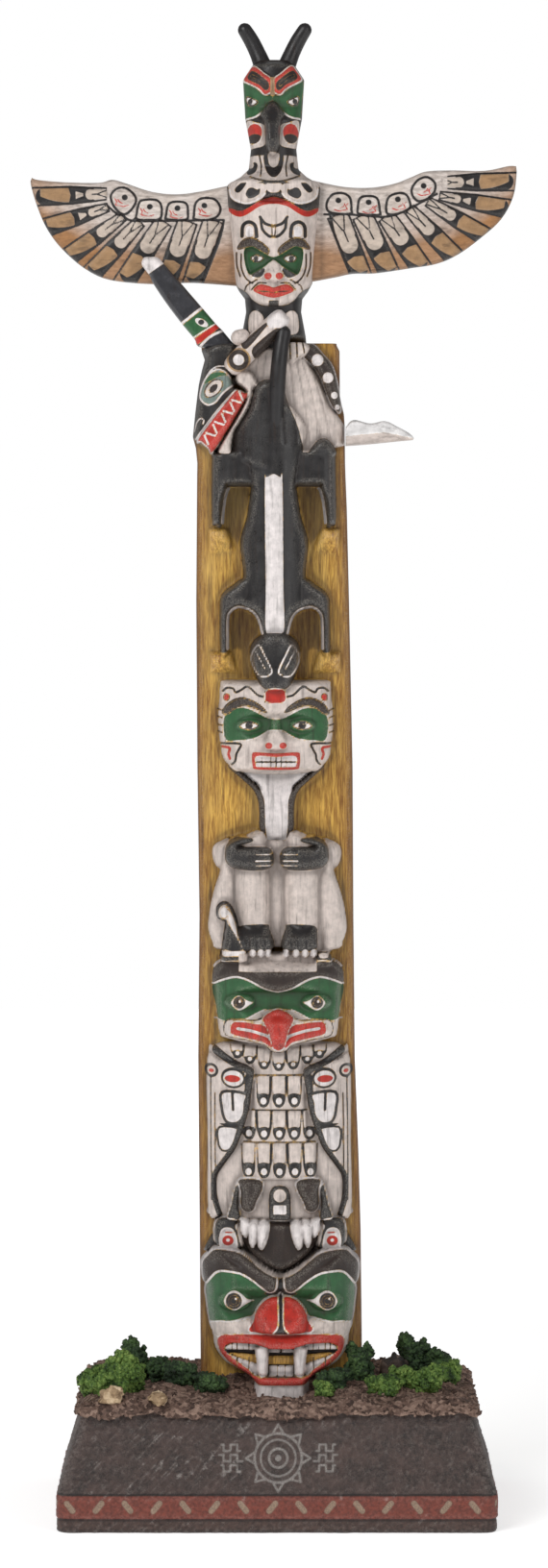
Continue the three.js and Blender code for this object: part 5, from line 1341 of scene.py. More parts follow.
def feather(face, root, tip, widths, split, side):
    """One flight feather, drawn in its own coordinates: how far along it and how far off its middle.

    Its pale root is split by short lines; past a dark bar it is tan, the side towards the body dark.
    The outer feathers, split early, have a long bar with a pale wedge in it.
    """
    root, tip = np.array(root), np.array(tip)
    length = np.linalg.norm(tip - root)
    way = (tip - root) / length
    long_bar = split < 0.35
    split *= length
    far = split + (4.0 if long_bar else 1.2)

    def drawn(distance):
        def measured(u, v):
            along = (u - root[0]) * way[0] + (v - root[1]) * way[1]
            off = ((u - root[0]) * way[1] - (v - root[1]) * way[0]) * side
            return distance(along, off, np.interp(along, (0, length * 0.5, length), widths))
        return Shape(300, 380, measured)

    def capsule(start, end, inset):
        """A panel across the feather with a rounded far end."""
        def distance(along, off, half):
            room = np.maximum(half - inset, 0.2)
            past = np.maximum(along - (end - room), 0)
            return np.maximum(np.sqrt(past ** 2 + off ** 2) - room, start - along)
        return drawn(distance)

    def streak(start, end, from_off, to_off, width):
        def distance(along, off, half):
            share = np.clip((along - start) / (end - start), 0, 1)
            line = (from_off + (to_off - from_off) * share) * half
            return np.maximum(np.abs(off - line) - width / 2, np.maximum(start - along, along - end))
        return drawn(distance)

    def panel(along, off, half):
        """The tan leaf, cut away on its lower side towards the tip."""
        share = np.clip((along - far) / (length * 0.95 - far), 0, 1)
        return np.maximum(np.maximum(-half + 0.35 - off, off - half * (0.8 - 0.8 * share ** 2)),
                          np.maximum(far - along + 0.25 * np.abs(off), along - length * 0.95))
    whole = drawn(lambda along, off, half: np.maximum(np.abs(off) - half, np.maximum(-along, along - length - 3)))
    face.press(whole, -0.45, 1.1)
    face.colour("black", whole.line(0.5), 0.25)
    face.colour("black", capsule(split * 0.6, length * 1.02, 0.05), 0.1)
    face.colour("tan", drawn(panel), -0.2)
    face.colour("cream", capsule(0.1, split, 0.5), -0.15)
    if long_bar:
        face.colour("cream", drawn(lambda along, off, half: np.maximum(np.abs(off) - 0.25 - (along - split - 0.4)
            * 0.35, np.maximum(split + 0.6 - along, along - split - 2.6))), -0.1)
    for line in (-1, 1):
        face.colour("black", streak(0.1, split * 0.42, line * 0.62, line * 0.06, 0.4), 0.18)
    face.colour("black", streak(split * 0.42, split * 0.72, 0, 0, 0.42), 0.15)


def build_wing(wing, finish):
    """One spread wing, from its outline, its row of faces and its feathers."""
    face, close = plate(wing["top"], wing["bottom"], (6.2, 5.6, 5, 4.4), (-0.3, 0.3, 0.9, 1.6), 190, 110, 18, 1.3)
    side = wing["side"]
    # Pale along the top, tan below and towards the tip
    top = np.array(wing["top"])
    order = np.argsort(top[:, 0])
    below = np.interp(face.u, top[order, 0], top[order, 1]) - face.v
    face.tone = np.clip((below - 7) / 12, 0, 1) * 0.95 + np.clip((np.abs(face.u) - 46) / 17, 0, 1) * 0.8
    for root, tip, *widths, split in wing["feathers"]:
        feather(face, root, tip, widths, split, side)
    high = wing["divider"][-1 if side < 0 else 0][1]
    band = Shape(340, 370, lambda u, v: 1.2 - (v - np.interp(u, *zip(*sorted(wing["divider"])))))
    face.bare(band.without(bar(300, 400, 100, side * (45.5 + 100))))
    seam = [(side * 14.2, high), (side * 15.6, high - 6), (side * 20.2, high - 17.4)]
    face.colour("black", stroke(seam, 0.7), 0.25)
    face.colour("black", stroke(wing["divider"], 0.6), 0.25)
    for outline, (du, dv) in zip(wing["faces"], wing["dots"]):
        ring = loop(outline)
        face.press(ring, -0.45, 1)
        face.bare(ring)
        face.colour("black", ring.line(0.66), 0.2)
        middle = np.mean(outline, axis=0)
        face.colour("black", oval(du, dv, 0.8, 0.75), 0.1)
        for curl in ([(-2.1, 0.4), (-1.5, -0.5), (-1.9, -1.2), (-0.9, -1.5), (0.4, -1.7), (1.6, -1.3)],
                     [(-1.2, 0.2), (-0.8, -0.5), (0, -0.9)]):
            face.colour("red", stroke([(middle[0] - p * side, middle[1] + q) for p, q in curl], 0.3), 0.05)
    # Darker along the lower edge, and painted shade where the wing meets the log.
    face.darken(stroke(wing["bottom"], 2.6), 0.4, 1.3)
    face.darken(stroke([(side * 12, 330), (side * 12, 357)], 2.4), 0.5, 1.4)
    face.depth += 0.03 * lattice_noise(8, face.u / 3.2, face.v / 1.1)
    piece = Piece()
    close(piece)
    settle(wing["name"], piece, finish)


def build_dorsal_fin(finish):
    """The whale's black fin, with its striped root and white tip."""
    def drawn(points):
        return [(LEAN_AT_TOP - u, v) for u, v in as_pairs(points)]
    left = [(13.2, 312.2), (19.7, 312.8), (21.2, 315.1), (24.3, 318.8), (28.4, 324.2), (32.1, 329.7), (33.2, 332),
        (35.2, 334.8), (34.9, 336.4)]
    right = [(10.6, 313.6), (13.7, 317.3), (15.2, 318.8), (19.4, 323.7), (24.6, 329.7), (29.3, 335.1), (30.9, 336.7),
        (33.2, 336.9), (34.5, 336.8)]
    face, close = plate(drawn(left), drawn(right), (12, 11.2, 10.4), (6.8, 7.4), 120, 60, 14, 1.3)
    face.colour("black", bar(305, 345, 60), 0)
    face.colour("green", loop(drawn([24.3, 318.6, 18.8, 322.9, 15.4, 319, 21.2, 315.1]), True), 0.1)
    face.colour("white", oval(-20.1, 319.3, 1.9, 0.95, -28), -0.15)
    face.colour("black", oval(-20.2, 319.4, 0.8, 0.7), 0.1)
    face.colour("white", stroke(drawn([(24.6, 319), (19.1, 323.3)]), 0.7), -0.1)
    face.colour("red", loop(drawn([21.2, 314.9, 15.4, 318.9, 14.4, 318, 20.3, 313.4]), True), 0)
    face.colour("white", stroke(drawn([(21.6, 315.2), (15.5, 319)]), 0.4), -0.1)
    face.colour("white", stroke(drawn([19.7, 312.8, 17.1, 315.4, 13.7, 317.1]), 0.7), 0)
    tip = loop(drawn([35.6, 334.6, 34.9, 337, 30.6, 337, 29.2, 335.1, 32.1, 333.1, 33.7, 332]), True)
    face.colour("white", tip, 0)
    piece = Piece()
    close(piece, "black")
    settle("dorsal_fin", piece, finish)


def build_side_fin(finish):
    """The white blade at the right of the log."""
    face, close = plate([(18.4, 291.6), (20.5, 293.5), (25, 292.6), (29, 293.2), (32.5, 291.6), (35.4, 290),
        (36.7, 288.7)], [(18.4, 286.5), (24, 286.9), (29, 287.4), (33, 287.8), (36.4, 288.1)], (8.4, 7.4, 6.2),
        (3.3, 4), 70, 34, 12, 0.8)
    crest = stroke([18.4, 288.9, 29, 290.1, 36.2, 288.5], 0.1)
    rows, distance = face.near(crest, 40)
    face.depth[rows] -= 0.5 * np.clip(distance - 0.1, 0, 2.4)
    lower = loop([17, 288.9, 29, 290.1, 36.8, 288.5, 36.8, 285, 17, 284], True)
    face.colour("white", bar(280, 300, 60), 0)
    face.colour("cream", lower, 0)
    # A little painted shade on the lower face, which faces down.
    face.darken(lower, 0.12, 0.6)
    piece = Piece()
    close(piece, "white")
    settle("side_fin", piece, finish)


# ---------------------------------------------------------------- base, soil, foliage and stones
BASE = {"foot": (58.5, 44.5), "top": (51.8, 37.7), "shoulder": 9.7, "height": 32.0, "corner": 4.0}
BAND = (3.4, 10.1)  # mm, the red band round the foot
RIM_COUNTS, BASE_LEVELS = (292, 96, 120, 96), 88  # places along the sides from the front on, and rings
SOIL_HALF, SOIL_CORNER, SOIL_FLOOR = (52.4, 38.4), 3, 31.4  # mm


def rim_places(counts, corner_steps):
    """Places round a rectangle from its front left corner: how far along each side, and the way out."""
    rows = []
    turns = [(-1, -1), (1, -1), (1, 1), (-1, 1)]
    for index, (sx, sy) in enumerate(turns):
        ex, ey = turns[(index + 1) % 4]
        for k in range(counts[index]):
            share = k / counts[index]
            out = ((0, -1), (1, 0), (0, 1), (-1, 0))[index]
            rows.append((sx + (ex - sx) * share, sy + (ey - sy) * share, *out))
        start = math.atan2(*((-1, 0), (0, 1), (1, 0), (0, -1))[index])
        for k in range(corner_steps):
            angle = start + (k + 0.5) / corner_steps * math.pi / 2
            rows.append((ex, ey, math.cos(angle), math.sin(angle)))
    return np.array(rows)


def slate_relief(u, v):
    """Split stone: lumps, pits and slanting scratches."""
    lumps = 0.2 * lattice_noise(11, u / 4.3, v / 3.1) + 0.16 * lattice_noise(12, u / 1.7, v / 1.3)
    fine = 0.14 * lattice_noise(13, u / 0.8, v / 0.7)
    scratch = lattice_noise(14, (u - v) / 1.0, (u + v) / 6)
    slant = np.where(u < -6, 1.0, 0.5) * 0.3 * np.clip(np.abs(scratch) - 0.2, 0, 1)
    return lumps + fine + slant


def carve_base_band(face):
    low, high = BAND
    flat = bar(low - 0.1, high, 400)
    face.depth *= 1 - 0.6 * np.clip(-flat.distance(face.u, face.v), 0, 1)
    face.colour("red", flat, 0)
    for v in (low, high):
        face.colour("black", bar(v - 0.28, v + 0.28, 400), 0.3)
    face.colour("brown", bar(-1, low - 0.3, 400), 0)
    # Painted shade along the foot, where the base meets the floor.
    face.darken(bar(-1, 1.1, 400), 0.6, 0.4)
    for k in range(-6, 21):
        middle, turn = -54.6 + 7.62 * k, 1 if k % 2 == 0 else -1
        shape = stroke([(middle - 0.8 * turn, 7.9), (middle + 0.8 * turn, 5.9)], 1.5)
        face.colour("cream", shape, 0.15)


def carve_base_emblem(face):
    """A rayed disc between stepped waves, scratched in and rubbed with pale paint."""
    line, middle, height = 0.62, 0.3, 19.4
    pale = [oval(middle, height, 6.2, 6.2).line(line), oval(middle, height, 4.6, 4.6).line(line * 0.8),
            oval(middle, height, 2.4, 2.4).line(line), oval(middle, height, 0.8, 0.8)]
    for k in range(8):
        angle = k * math.pi / 4
        c, s = math.cos(angle), math.sin(angle)
        tip = (middle + 8.5 * c, height + 8.5 * s)
        wide = [(middle + 6.4 * math.cos(angle + w), height + 6.4 * math.sin(angle + w)) for w in (-0.22, 0.22)]
        pale.append(stroke([wide[0], tip, wide[1]], line * 0.85, True))
    for side in (-1, 1):
        for drop, reach in ((0, 0), (2.6, 0.6), (-2.6, 0.6)):
            steps = [(9.4 + reach, -0.8), (10.8, -0.8), (10.8, 0.8), (12.6, 0.8), (12.6, -0.8), (14.4, -0.8),
                (14.4, 0.8), (15.6 - reach, 0.8)]
            pale.append(stroke([(middle + side * u, height + v + drop) for u, v in steps], line * 0.8, True))
    for shape in pale:
        face.colour("white", shape, 0.22)


def base_rings(face_columns, levels):
    rim = rim_places(face_columns, 7)
    heights = np.concatenate([[0.0], np.linspace(0.35, 31.6, levels)])
    taper = np.clip((heights - BASE["shoulder"]) / (BASE["height"] - BASE["shoulder"]), 0, 1)[:, None]
    half = [BASE["foot"][k] + (BASE["top"][k] - BASE["foot"][k]) * taper - BASE["corner"] for k in (0, 1)]
    x, y = (half[k] * rim[:, k] + BASE["corner"] * rim[:, k + 2] for k in (0, 1))
    return rim, heights, x, y


def build_base(finish):
    """The slate base with its band and its scratched design."""
    rim, heights, x, y = base_rings(RIM_COUNTS, BASE_LEVELS)
    level = np.broadcast_to(heights[:, None], x.shape)
    front, right, left = rim[:, 3] < -0.7, rim[:, 2] > 0.7, rim[:, 2] < -0.7
    wide, deep = BASE["foot"]
    u = np.where(front, x, np.where(right, wide + y + deep, np.where(left, -wide - y - deep, 200 + x)))
    face = Face(u, level, np.zeros(u.shape))
    relief = slate_relief(u, level)
    face.depth += relief - 0.55
    carve_base_band(face)
    carve_base_emblem(face)
    face.depth = np.clip(face.depth, -1.3, -0.05)
    face.depth[0] -= 0.4
    face.depth[-1] -= 0.5
    place_x = x + face.depth * rim[:, 2]
    place_y = y + face.depth * rim[:, 3]
    marks = face.marks()
    # The sloped corners and raised lumps are lightened: painted highlight on the corners, and painted highlight with
    # rubbed wear on the lumps.
    worn = np.clip(1 - np.abs(np.abs(rim[:, 2]) - 0.7) / 0.5, 0, 1)[None, :] * (level > 10) * 0.9
    raised_lumps = np.clip((relief - 0.3) / 0.22, 0, 1) * 0.8
    marks["ridge"] = np.clip(marks["ridge"] * 0.5 + raised_lumps + worn * (0.3 + raised_lumps), 0, 1)
    rings = [np.stack([place_x, place_y, level], axis=-1)]
    lid = [(0.993, 31.95), (0.97, 32.0), (0.9, 32.0), (0.7, 32.0)]
    for share, z in lid:
        rings.append(np.stack([place_x[-1:] * share, place_y[-1:] * share, np.full((1, len(rim)), z)], axis=-1))
    for name, values in marks.items():
        marks[name] = np.vstack([values] + [values[-1:]] * len(lid))
    piece = Piece()
    piece.shell(np.concatenate(rings), marks)
    settle("base", piece, finish)


def soil_height(x, y):
    rim = np.maximum(np.abs(x) / BASE["top"][0], np.abs(y) / BASE["top"][1])
    hollow = 2.2 * np.exp(-(np.maximum(np.abs(x) - 7, 0) / 4) ** 2 - (np.maximum(np.abs(y + 24) - 6, 0) / 4) ** 2)
    return (32.3 + 4.2 * (1 - 0.55 * np.clip(rim, 0, 1) ** 3) + 0.5 * np.sin(0.31 * x + 1) * np.cos(0.37 * y)
            + 0.35 * np.sin(0.13 * x - 0.21 * y) - hollow)


def scatter_tree(name, crumb, finish):
    """Nodes that strew crumbs over a mesh and keep the mesh under them.

    Inputs: how many to a square metre, their least and greatest size, and a seed.
    """
    tree = bpy.data.node_groups.new(name, "GeometryNodeTree")
    for label, kind in (("Geometry", "NodeSocketGeometry"), ("Density", "NodeSocketFloat"),
                        ("Least Size", "NodeSocketFloat"), ("Greatest Size", "NodeSocketFloat"),
                        ("Seed", "NodeSocketInt")):
        tree.interface.new_socket(name=label, in_out="INPUT", socket_type=kind)
    tree.interface.new_socket(name="Geometry", in_out="OUTPUT", socket_type="NodeSocketGeometry")

    def node(kind, inputs=None, **settings):
        made = tree.nodes.new(kind)
        for key, value in settings.items():
            setattr(made, key, value)
        for key, value in (inputs or {}).items():
            if isinstance(value, bpy.types.NodeSocket):
                tree.links.new(value, made.inputs[key])
            else:
                made.inputs[key].default_value = value
        return made
    given = node("NodeGroupInput").outputs
    points = node("GeometryNodeDistributePointsOnFaces", {"Mesh": given["Geometry"], "Density": given["Density"],
                                                          "Seed": given["Seed"]})
    shape = node("GeometryNodeObjectInfo", {"Object": crumb})
    turn = node("FunctionNodeRandomValue", {0: (0.0, 0.0, 0.0), 1: (6.283, 6.283, 6.283), "Seed": given["Seed"]},
                data_type="FLOAT_VECTOR")
    size = node("FunctionNodeRandomValue", {2: given["Least Size"], 3: given["Greatest Size"], "Seed": given["Seed"]},
                data_type="FLOAT")
    strewn = node("GeometryNodeInstanceOnPoints", {"Points": points.outputs["Points"],
                                                   "Instance": shape.outputs["Geometry"],
                                                   "Rotation": turn.outputs[0], "Scale": size.outputs[1]})
    joined = node("GeometryNodeJoinGeometry")
    tree.links.new(strewn.outputs[0], joined.inputs[0])
    tree.links.new(given["Geometry"], joined.inputs[0])
    plain = node("GeometryNodeRealizeInstances", {0: joined.outputs[0]})
    coated = node("GeometryNodeSetMaterial", {"Geometry": plain.outputs[0], "Material": finish})
    end = node("NodeGroupOutput")
    tree.links.new(coated.outputs[0], end.inputs[0])
    return tree


def strew(name, mesh, tree, **inputs):
    """The plain mesh that comes of strewing crumbs over a mesh."""
    ground = bpy.data.objects.new(name + "_ground", mesh)
    bpy.context.scene.collection.objects.link(ground)
    modifier = ground.modifiers.new("Strew", "NODES")
    modifier.node_group = tree
    for item in tree.interface.items_tree:
        if item.in_out == "INPUT" and item.name in inputs:
            modifier[item.identifier] = inputs[item.name]
    depsgraph = bpy.context.evaluated_depsgraph_get()
    result = bpy.data.meshes.new_from_object(ground.evaluated_get(depsgraph), depsgraph=depsgraph)
    result.name = name
    ground.modifiers.clear()
    bpy.data.objects.remove(ground)
    result.polygons.foreach_set("use_smooth", [True] * len(result.polygons))
    return result


def crumb(name, seed, jitter, stretch=(1, 1, 1)):
    """A small irregular lump one metre across, hidden away, for strewing."""
    phi = (1 + 5 ** 0.5) / 2
    corners = np.array([(-1, phi, 0), (1, phi, 0), (-1, -phi, 0), (1, -phi, 0), (0, -1, phi), (0, 1, phi),
                        (0, -1, -phi), (0, 1, -phi), (phi, 0, -1), (phi, 0, 1), (-phi, 0, -1), (-phi, 0, 1)])
    faces = [(0, 11, 5), (0, 5, 1), (0, 1, 7), (0, 7, 10), (0, 10, 11), (1, 5, 9), (5, 11, 4), (11, 10, 2),
        (10, 7, 6), (7, 1, 8), (3, 9, 4), (3, 4, 2), (3, 2, 6), (3, 6, 8), (3, 8, 9), (4, 9, 5), (2, 4, 11),
        (6, 2, 10), (8, 6, 7), (9, 8, 1)]
    random = np.random.default_rng(seed)
    corners = corners / np.linalg.norm(corners[0]) * random.uniform(1 - jitter, 1 + jitter, (12, 1)) / 2
    mesh = bpy.data.meshes.new(name)
    mesh.from_pydata((corners * stretch).tolist(), [], faces)
    mesh.update()
    lump = bpy.data.objects.new(name, mesh)
    return lump


def build_soil(settings, finish):
    """The lumpy soil, its edge that spills over the base, and the crumbs on it."""
    rim = rim_places((150, 110, 150, 110), 6)
    half = [reach - SOIL_CORNER for reach in SOIL_HALF]
    shares = np.concatenate([np.linspace(0.015, 0.93, 50), np.linspace(0.945, 1.0, 7)])
    rings = []
    for share in shares:
        x, y = ((half[k] * rim[:, k] + SOIL_CORNER * rim[:, k + 2]) * share for k in (0, 1))
        lumps = (0.75 * lattice_noise(21, x / 2.9, y / 2.9) + 0.34 * lattice_noise(22, x / 1.2, y / 1.2)
                 + 0.12 * lattice_noise(23, x / 0.6, y / 0.6))
        z = soil_height(x, y) + lumps - 0.5 - 1.7 * np.clip((share - 0.9) / 0.1, 0, 1) ** 2
        rings.append(np.stack([x, y, z], axis=-1))
    x, y = rings[-1][:, 0], rings[-1][:, 1]
    along = np.arange(len(rim)) * 1.0
    spill = 1.9 + 0.8 * lattice_noise(24, along / 7, 0 * along) + 0.5 * lattice_noise(25, along / 2.3, 0 * along)
    for k in (1, 2, 3, 4):
        share = k / 4
        out = 0.5 + 0.75 * share + 0.3 * lattice_noise(26 + k, along / 1.3, 0 * along)
        z = rings[len(shares) - 1][:, 2] * (1 - share) + (32 - spill) * share
        rings.append(np.stack([x + rim[:, 2] * out, y + rim[:, 3] * out, z], axis=-1))
    for share in (0.98, 0.7, 0.3, 0.05):
        rings.append(np.stack([x * share, y * share, np.full(len(rim), SOIL_FLOOR)], axis=-1))
    piece = Piece()
    piece.shell(np.array(rings))
    ground = piece.mesh("soil_ground")
    lump = crumb("soil_crumb", 5, 0.35, (1, 0.8, 0.7))
    tree = scatter_tree("strewn grit", lump, finish)
    mesh = strew("soil", ground, tree, **{"Density": settings.grit_density, "Least Size": settings.grit_size * 0.5,
                                          "Greatest Size": settings.grit_size * 1.6, "Seed": 7})
    settle("soil", mesh, finish)


def blob(centre, radii, seed, rough, cells=2.2, rows=26, around=40):
    """Rings of a lumpy round shape."""
    up = np.linspace(-0.5 * math.pi, 0.5 * math.pi, rows + 2)[1:-1][:, None]
    turn = np.linspace(0, 2 * math.pi, around, endpoint=False)[None, :]
    way = [np.cos(up) * np.cos(turn), np.cos(up) * np.sin(turn), np.sin(up) + 0 * turn]
    size = 1 + rough * lattice_noise(seed, *(w * cells + 9 for w in way)) + rough * 0.45 * lattice_noise(
        seed + 1, *(w * cells * 2.3 + 9 for w in way))
    return np.stack([centre[k] + radii[k] * size * way[k] for k in range(3)], axis=-1)


# Clumps: name, finish, and each lobe's place, its reach both ways and its height
CLUMPS = (
    ("moss_left", "foliage", ((-44.5, -26, 9.4, 8, 7.4),)),
    ("moss_left_back", "dark_foliage", ((-38, -6, 4, 5, 8), (-31.5, -9, 4, 4, 4))),
    ("moss_left_of_pole", "dark_foliage", ((-25.5, -18, 5.4, 5, 4.8), (-17.5, -25, 5, 4, 3.4))),
    ("moss_right_of_pole", "dark_foliage", ((22, -16, 4.2, 4.6, 7.4), (15, -25.5, 5, 4, 3.8))),
    ("moss_right_front", "foliage", ((28.6, -28, 5, 4.4, 4.2), (12.6, -31, 3.4, 3, 2.6))),
    ("moss_right_middle", "foliage", ((39.4, -24, 5.2, 5, 5.4), (33.4, -20, 4, 4, 4))),
    ("moss_right_back", "dark_foliage", ((37.4, 4, 4.8, 5, 8.6), (44, 1, 4.2, 5, 5.6))),
    ("moss_right_edge", "foliage", ((46, -8, 4, 6, 4.4),)),
    ("moss_behind", "dark_foliage", ((-8, 27, 9, 5, 5),)),
)
STONES = (
    ("stone_left", (-43.6, -36.8), (3.4, 2.6, 2.6), "tan_stone"),
    ("stone_left_small", (-31.4, -36.6), (2.4, 2.1, 2.1), "tan_stone"),
    ("stone_right_dark", (31.6, -3.4), (3.6, 3.2, 5.4), "dark_stone"),
)


def build_foliage(settings, finishes):
    trees = {}
    for slot in ("foliage", "dark_foliage"):
        leaf = crumb(slot + "_crumb", 9, 0.45, (1, 0.75, 0.6))
        trees[slot] = scatter_tree("strewn " + slot, leaf, finishes[slot])
    for index, (name, slot, lobes) in enumerate(CLUMPS):
        piece = Piece()
        random = np.random.default_rng(60 + index)
        for x, y, *radii in lobes:
            z = float(soil_height(np.array(x), np.array(y))) + 0.3 * radii[2]
            piece.shell(blob((x, y, z), [r * 0.66 for r in radii], random.integers(900), 0.34))
            for _ in range(8):
                turn, up = random.uniform(0, 2 * math.pi), random.uniform(-0.3, 0.62)
                size = random.uniform(0.22, 0.44)
                reach = (0.9 - size) * math.sqrt(1 - 0.6 * up * up)
                centre = (x + radii[0] * reach * math.cos(turn), y + radii[1] * reach * math.sin(turn),
                          z + radii[2] * up)
                piece.shell(blob(centre, [r * size for r in radii], random.integers(900), 0.4, 1.8, 11, 18))
        mesh = strew(name, piece.mesh(name + "_core"), trees[slot],
                     **{"Density": settings.leaf_density, "Least Size": settings.leaf_size * 0.6,
                        "Greatest Size": settings.leaf_size * 1.7, "Seed": 11 + index})
        settle(name, mesh, finishes[slot])


def build_stones(finishes):
    for index, (name, (x, y), radii, slot) in enumerate(STONES):
        z = float(soil_height(np.array(x), np.array(y))) + 0.2 * radii[2]
        piece = Piece()
        piece.shell(blob((x, y, z), [r * 0.9 for r in radii], 80 + 3 * index, 0.34, 2.1, 34, 52))
        settle(name, piece, finishes[slot])


# ---------------------------------------------------------------- the other finishes
def slate_finish(paints):
    """Dark split slate with a dull red band, pale scratches, painted shade in its hollows, and edges paler with rubbed
    wear and painted highlight.
    """
    f = Finish("slate paint")
    broad = f.noise(6, 4, 0.6)
    fine = f.noise(0.9, 5, 0.7)
    grit = f.noise(0.32, 3, 0.6)
    colour = f.mix(f.spread(fine * 0.6 + grit * 0.4, 0.4, 0.6), paints["slate_dark"], paints["slate"])
    colour = f.mix(f.spread(broad, 0.4, 0.7) * 0.55, colour, paints["slate_warm"])
    wobble = (fine - 0.5) * 0.8 + (grit - 0.5) * 0.3
    for name, tint, hold in (("brown", "foot", 0.6), ("red", "band", 0.95), ("black", "slate_dark", 0.7),
                             ("cream", "dash", 0.85), ("white", "chalk", 0.85)):
        cover = (0.5 - (f.mark("paint_" + name) + wobble * (0.25 if name in ("red", "black") else 0.5)) / 0.3).limit()
        worn = f.spread(grit + fine, 0.82, 1.16, 1.0, 1.0 - 0.62 * (name in ("cream", "white")))
        tinted = f.mix(f.spread(fine, 0.38, 0.6), tuple(c * 0.5 for c in paints[tint]), paints[tint])
        colour = f.mix(cover * worn * hold, colour, tinted)
    # Painted shade: darker in the hollows and along the foot.
    colour = f.mix((f.mark("hollow") * 0.6 + f.mark("shade")).limit(), colour, paints["slate_dark"])
    # Ridges, raised lumps and sloped corners paler: rubbed wear and painted highlight.
    rubbed = (f.mark("ridge") * f.spread(fine * 0.6 + grit * 0.4, 0.4, 0.6)).limit()
    colour = f.mix(rubbed * 0.42, colour, paints["chalk"])
    rough = f.spread(fine, 0.3, 0.7, 0.42, 0.7)
    return f.surface(colour, rough, f.bump(grit, 0.22, 0.8, f.bump(fine, 0.5, 0.8)), Specular_IOR_Level=0.45)


def grit_finish(name, low, middle, high, size=0.8, gloss=0.75):
    """Loose stuff of mixed grains."""
    f = Finish(name)
    grain = f.noise(size, 4, 0.7)
    spots = f.node("TexVoronoi", {"feature": "F1"}, {"Vector": f.place(), "Scale": 1 / (size * 1.3 * MM)}, "Color")
    pick = f.node("SeparateColor", {}, {0: spots})
    colour = f.node("ValToRGB", {"stops": ((0.28, low), (0.5, middle), (0.74, high))}, {0: grain * 0.6 + pick * 0.4})
    rough = f.spread(grain, 0.3, 0.7, gloss - 0.1, gloss + 0.15)
    return f.surface(colour, rough, f.bump(grain, 0.12, 0.5), Specular_IOR_Level=0.3)


def leaf_finish(name, deep, middle, fresh):
    """Foam leaf: deep, middle and fresh greens mixed by noise."""
    f = Finish(name)
    grain = f.noise(0.7, 4, 0.7)
    patch = f.noise(4.5, 3, 0.5)
    colour = f.node("ValToRGB", {"stops": ((0.38, deep), (0.5, middle), (0.62, fresh))}, {0: grain * 0.6 + patch * 0.4})
    rough = f.spread(grain, 0.3, 0.7, 0.62, 0.85)
    return f.surface(colour, rough, f.bump(grain, 0.15, 0.6), Specular_IOR_Level=0.35)


# ---------------------------------------------------------------- what a user would change
def colour_setting(label, note, red, green, blue):
    return FloatVectorProperty(name=label, description=note, subtype="COLOR", size=3, min=0, max=1,
                               default=light(red, green, blue))


def length_setting(label, note, default, low, high):
    return FloatProperty(name=label, description=note, default=default, min=low, max=high, subtype="DISTANCE",
                         unit="LENGTH")


def number_setting(label, note, default, high):
    return FloatProperty(name=label, description=note, default=default, min=0, max=high)


class TotemPaints(bpy.types.PropertyGroup):
    """The colours of the paints and materials."""
    wood: colour_setting("Wood", "Bare ochre wood", 220, 174, 80)
    wood_dark: colour_setting("Wood Grain", "The dark streaks in the wood", 150, 100, 32)
    wood_light: colour_setting("Light Wood", "The pale patches in the wood", 238, 202, 116)
    wing_grain: colour_setting("Wing Grain", "The grain under the wings' pale paint", 180, 168, 160)
    wing_pale: colour_setting("Wing Pale", "The pale upper part of the wings", 212, 201, 194)
    wing_tan: colour_setting("Wing Tan", "The tan lower part and tips of the wings", 162, 116, 74)
    cream: colour_setting("Cream", "Off-white ground of the figures", 220, 206, 198)
    white: colour_setting("White", "Painted lines, teeth and claws", 236, 228, 226)
    black: colour_setting("Black", "Soft black paint", 37, 35, 36)
    brown: colour_setting("Brown", "Brown-black paint of the brows", 48, 36, 31)
    green: colour_setting("Green", "Eye sockets", 48, 98, 58)
    red: colour_setting("Red", "Lips and noses", 196, 46, 34)
    teal: colour_setting("Grey Teal", "The whale's eye and the wings' top edge", 118, 136, 130)
    tan: colour_setting("Tan", "Pinkish tan of feathers and eyes", 180, 146, 112)
    # Also the painted shade in the hollows and under the parts.
    grime: colour_setting("Grime", "What gathers in the hollows", 46, 34, 28)
    edge: colour_setting("Wood Edge", "The stain along the sides of the log", 112, 64, 16)
    # Also the painted highlight on the ridges.
    worn: colour_setting("Worn Edge", "Where the ridges are rubbed", 232, 222, 208)
    slate: colour_setting("Slate", "The base", 81, 68, 63)
    # Also the painted shade in the base's hollows and along its foot.
    slate_dark: colour_setting("Dark Slate", "The hollows of the base", 36, 29, 28)
    slate_warm: colour_setting("Warm Slate", "Brown patches of the base", 92, 72, 66)
    band: colour_setting("Band", "The red band round the foot", 132, 64, 50)
    dash: colour_setting("Dashes", "The slanting dashes in the band", 206, 176, 148)
    chalk: colour_setting("Chalk", "The rubbed pale design and scratches", 202, 196, 190)
    foot: colour_setting("Foot", "The dark strip below the band", 84, 62, 54)


class TotemCarving(bpy.types.PropertyGroup):
    """How finely the pole is carved."""
    fine_step: length_setting("Fine Step", "Spacing of the rings over fine carving", 0.4 * MM, 0.3 * MM, 2 * MM)
    coarse_step: length_setting("Coarse Step", "Spacing of the rings elsewhere", 0.6 * MM, 0.3 * MM, 3 * MM)
    columns: IntProperty(name="Columns", description="Places across the front of the log", default=103, min=31,
                         max=121)
    grain: length_setting("Grain Depth", "Depth of the tool marks along the wood", 0.045 * MM, 0, 0.3 * MM)


class TotemGround(bpy.types.PropertyGroup):
    """The soil and foliage on the base."""
    grit_size: length_setting("Grit Size", "Usual size of a crumb of soil", 1.15 * MM, 0.2 * MM, 3 * MM)
    grit_density: number_setting("Grit Density", "Crumbs to a square metre", 200000, 400000)
    leaf_size: length_setting("Leaf Size", "Usual size of a crumb of foliage", 1.4 * MM, 0.3 * MM, 4 * MM)
    leaf_density: number_setting("Leaf Density", "Foliage crumbs to a square metre", 800000, 3000000)


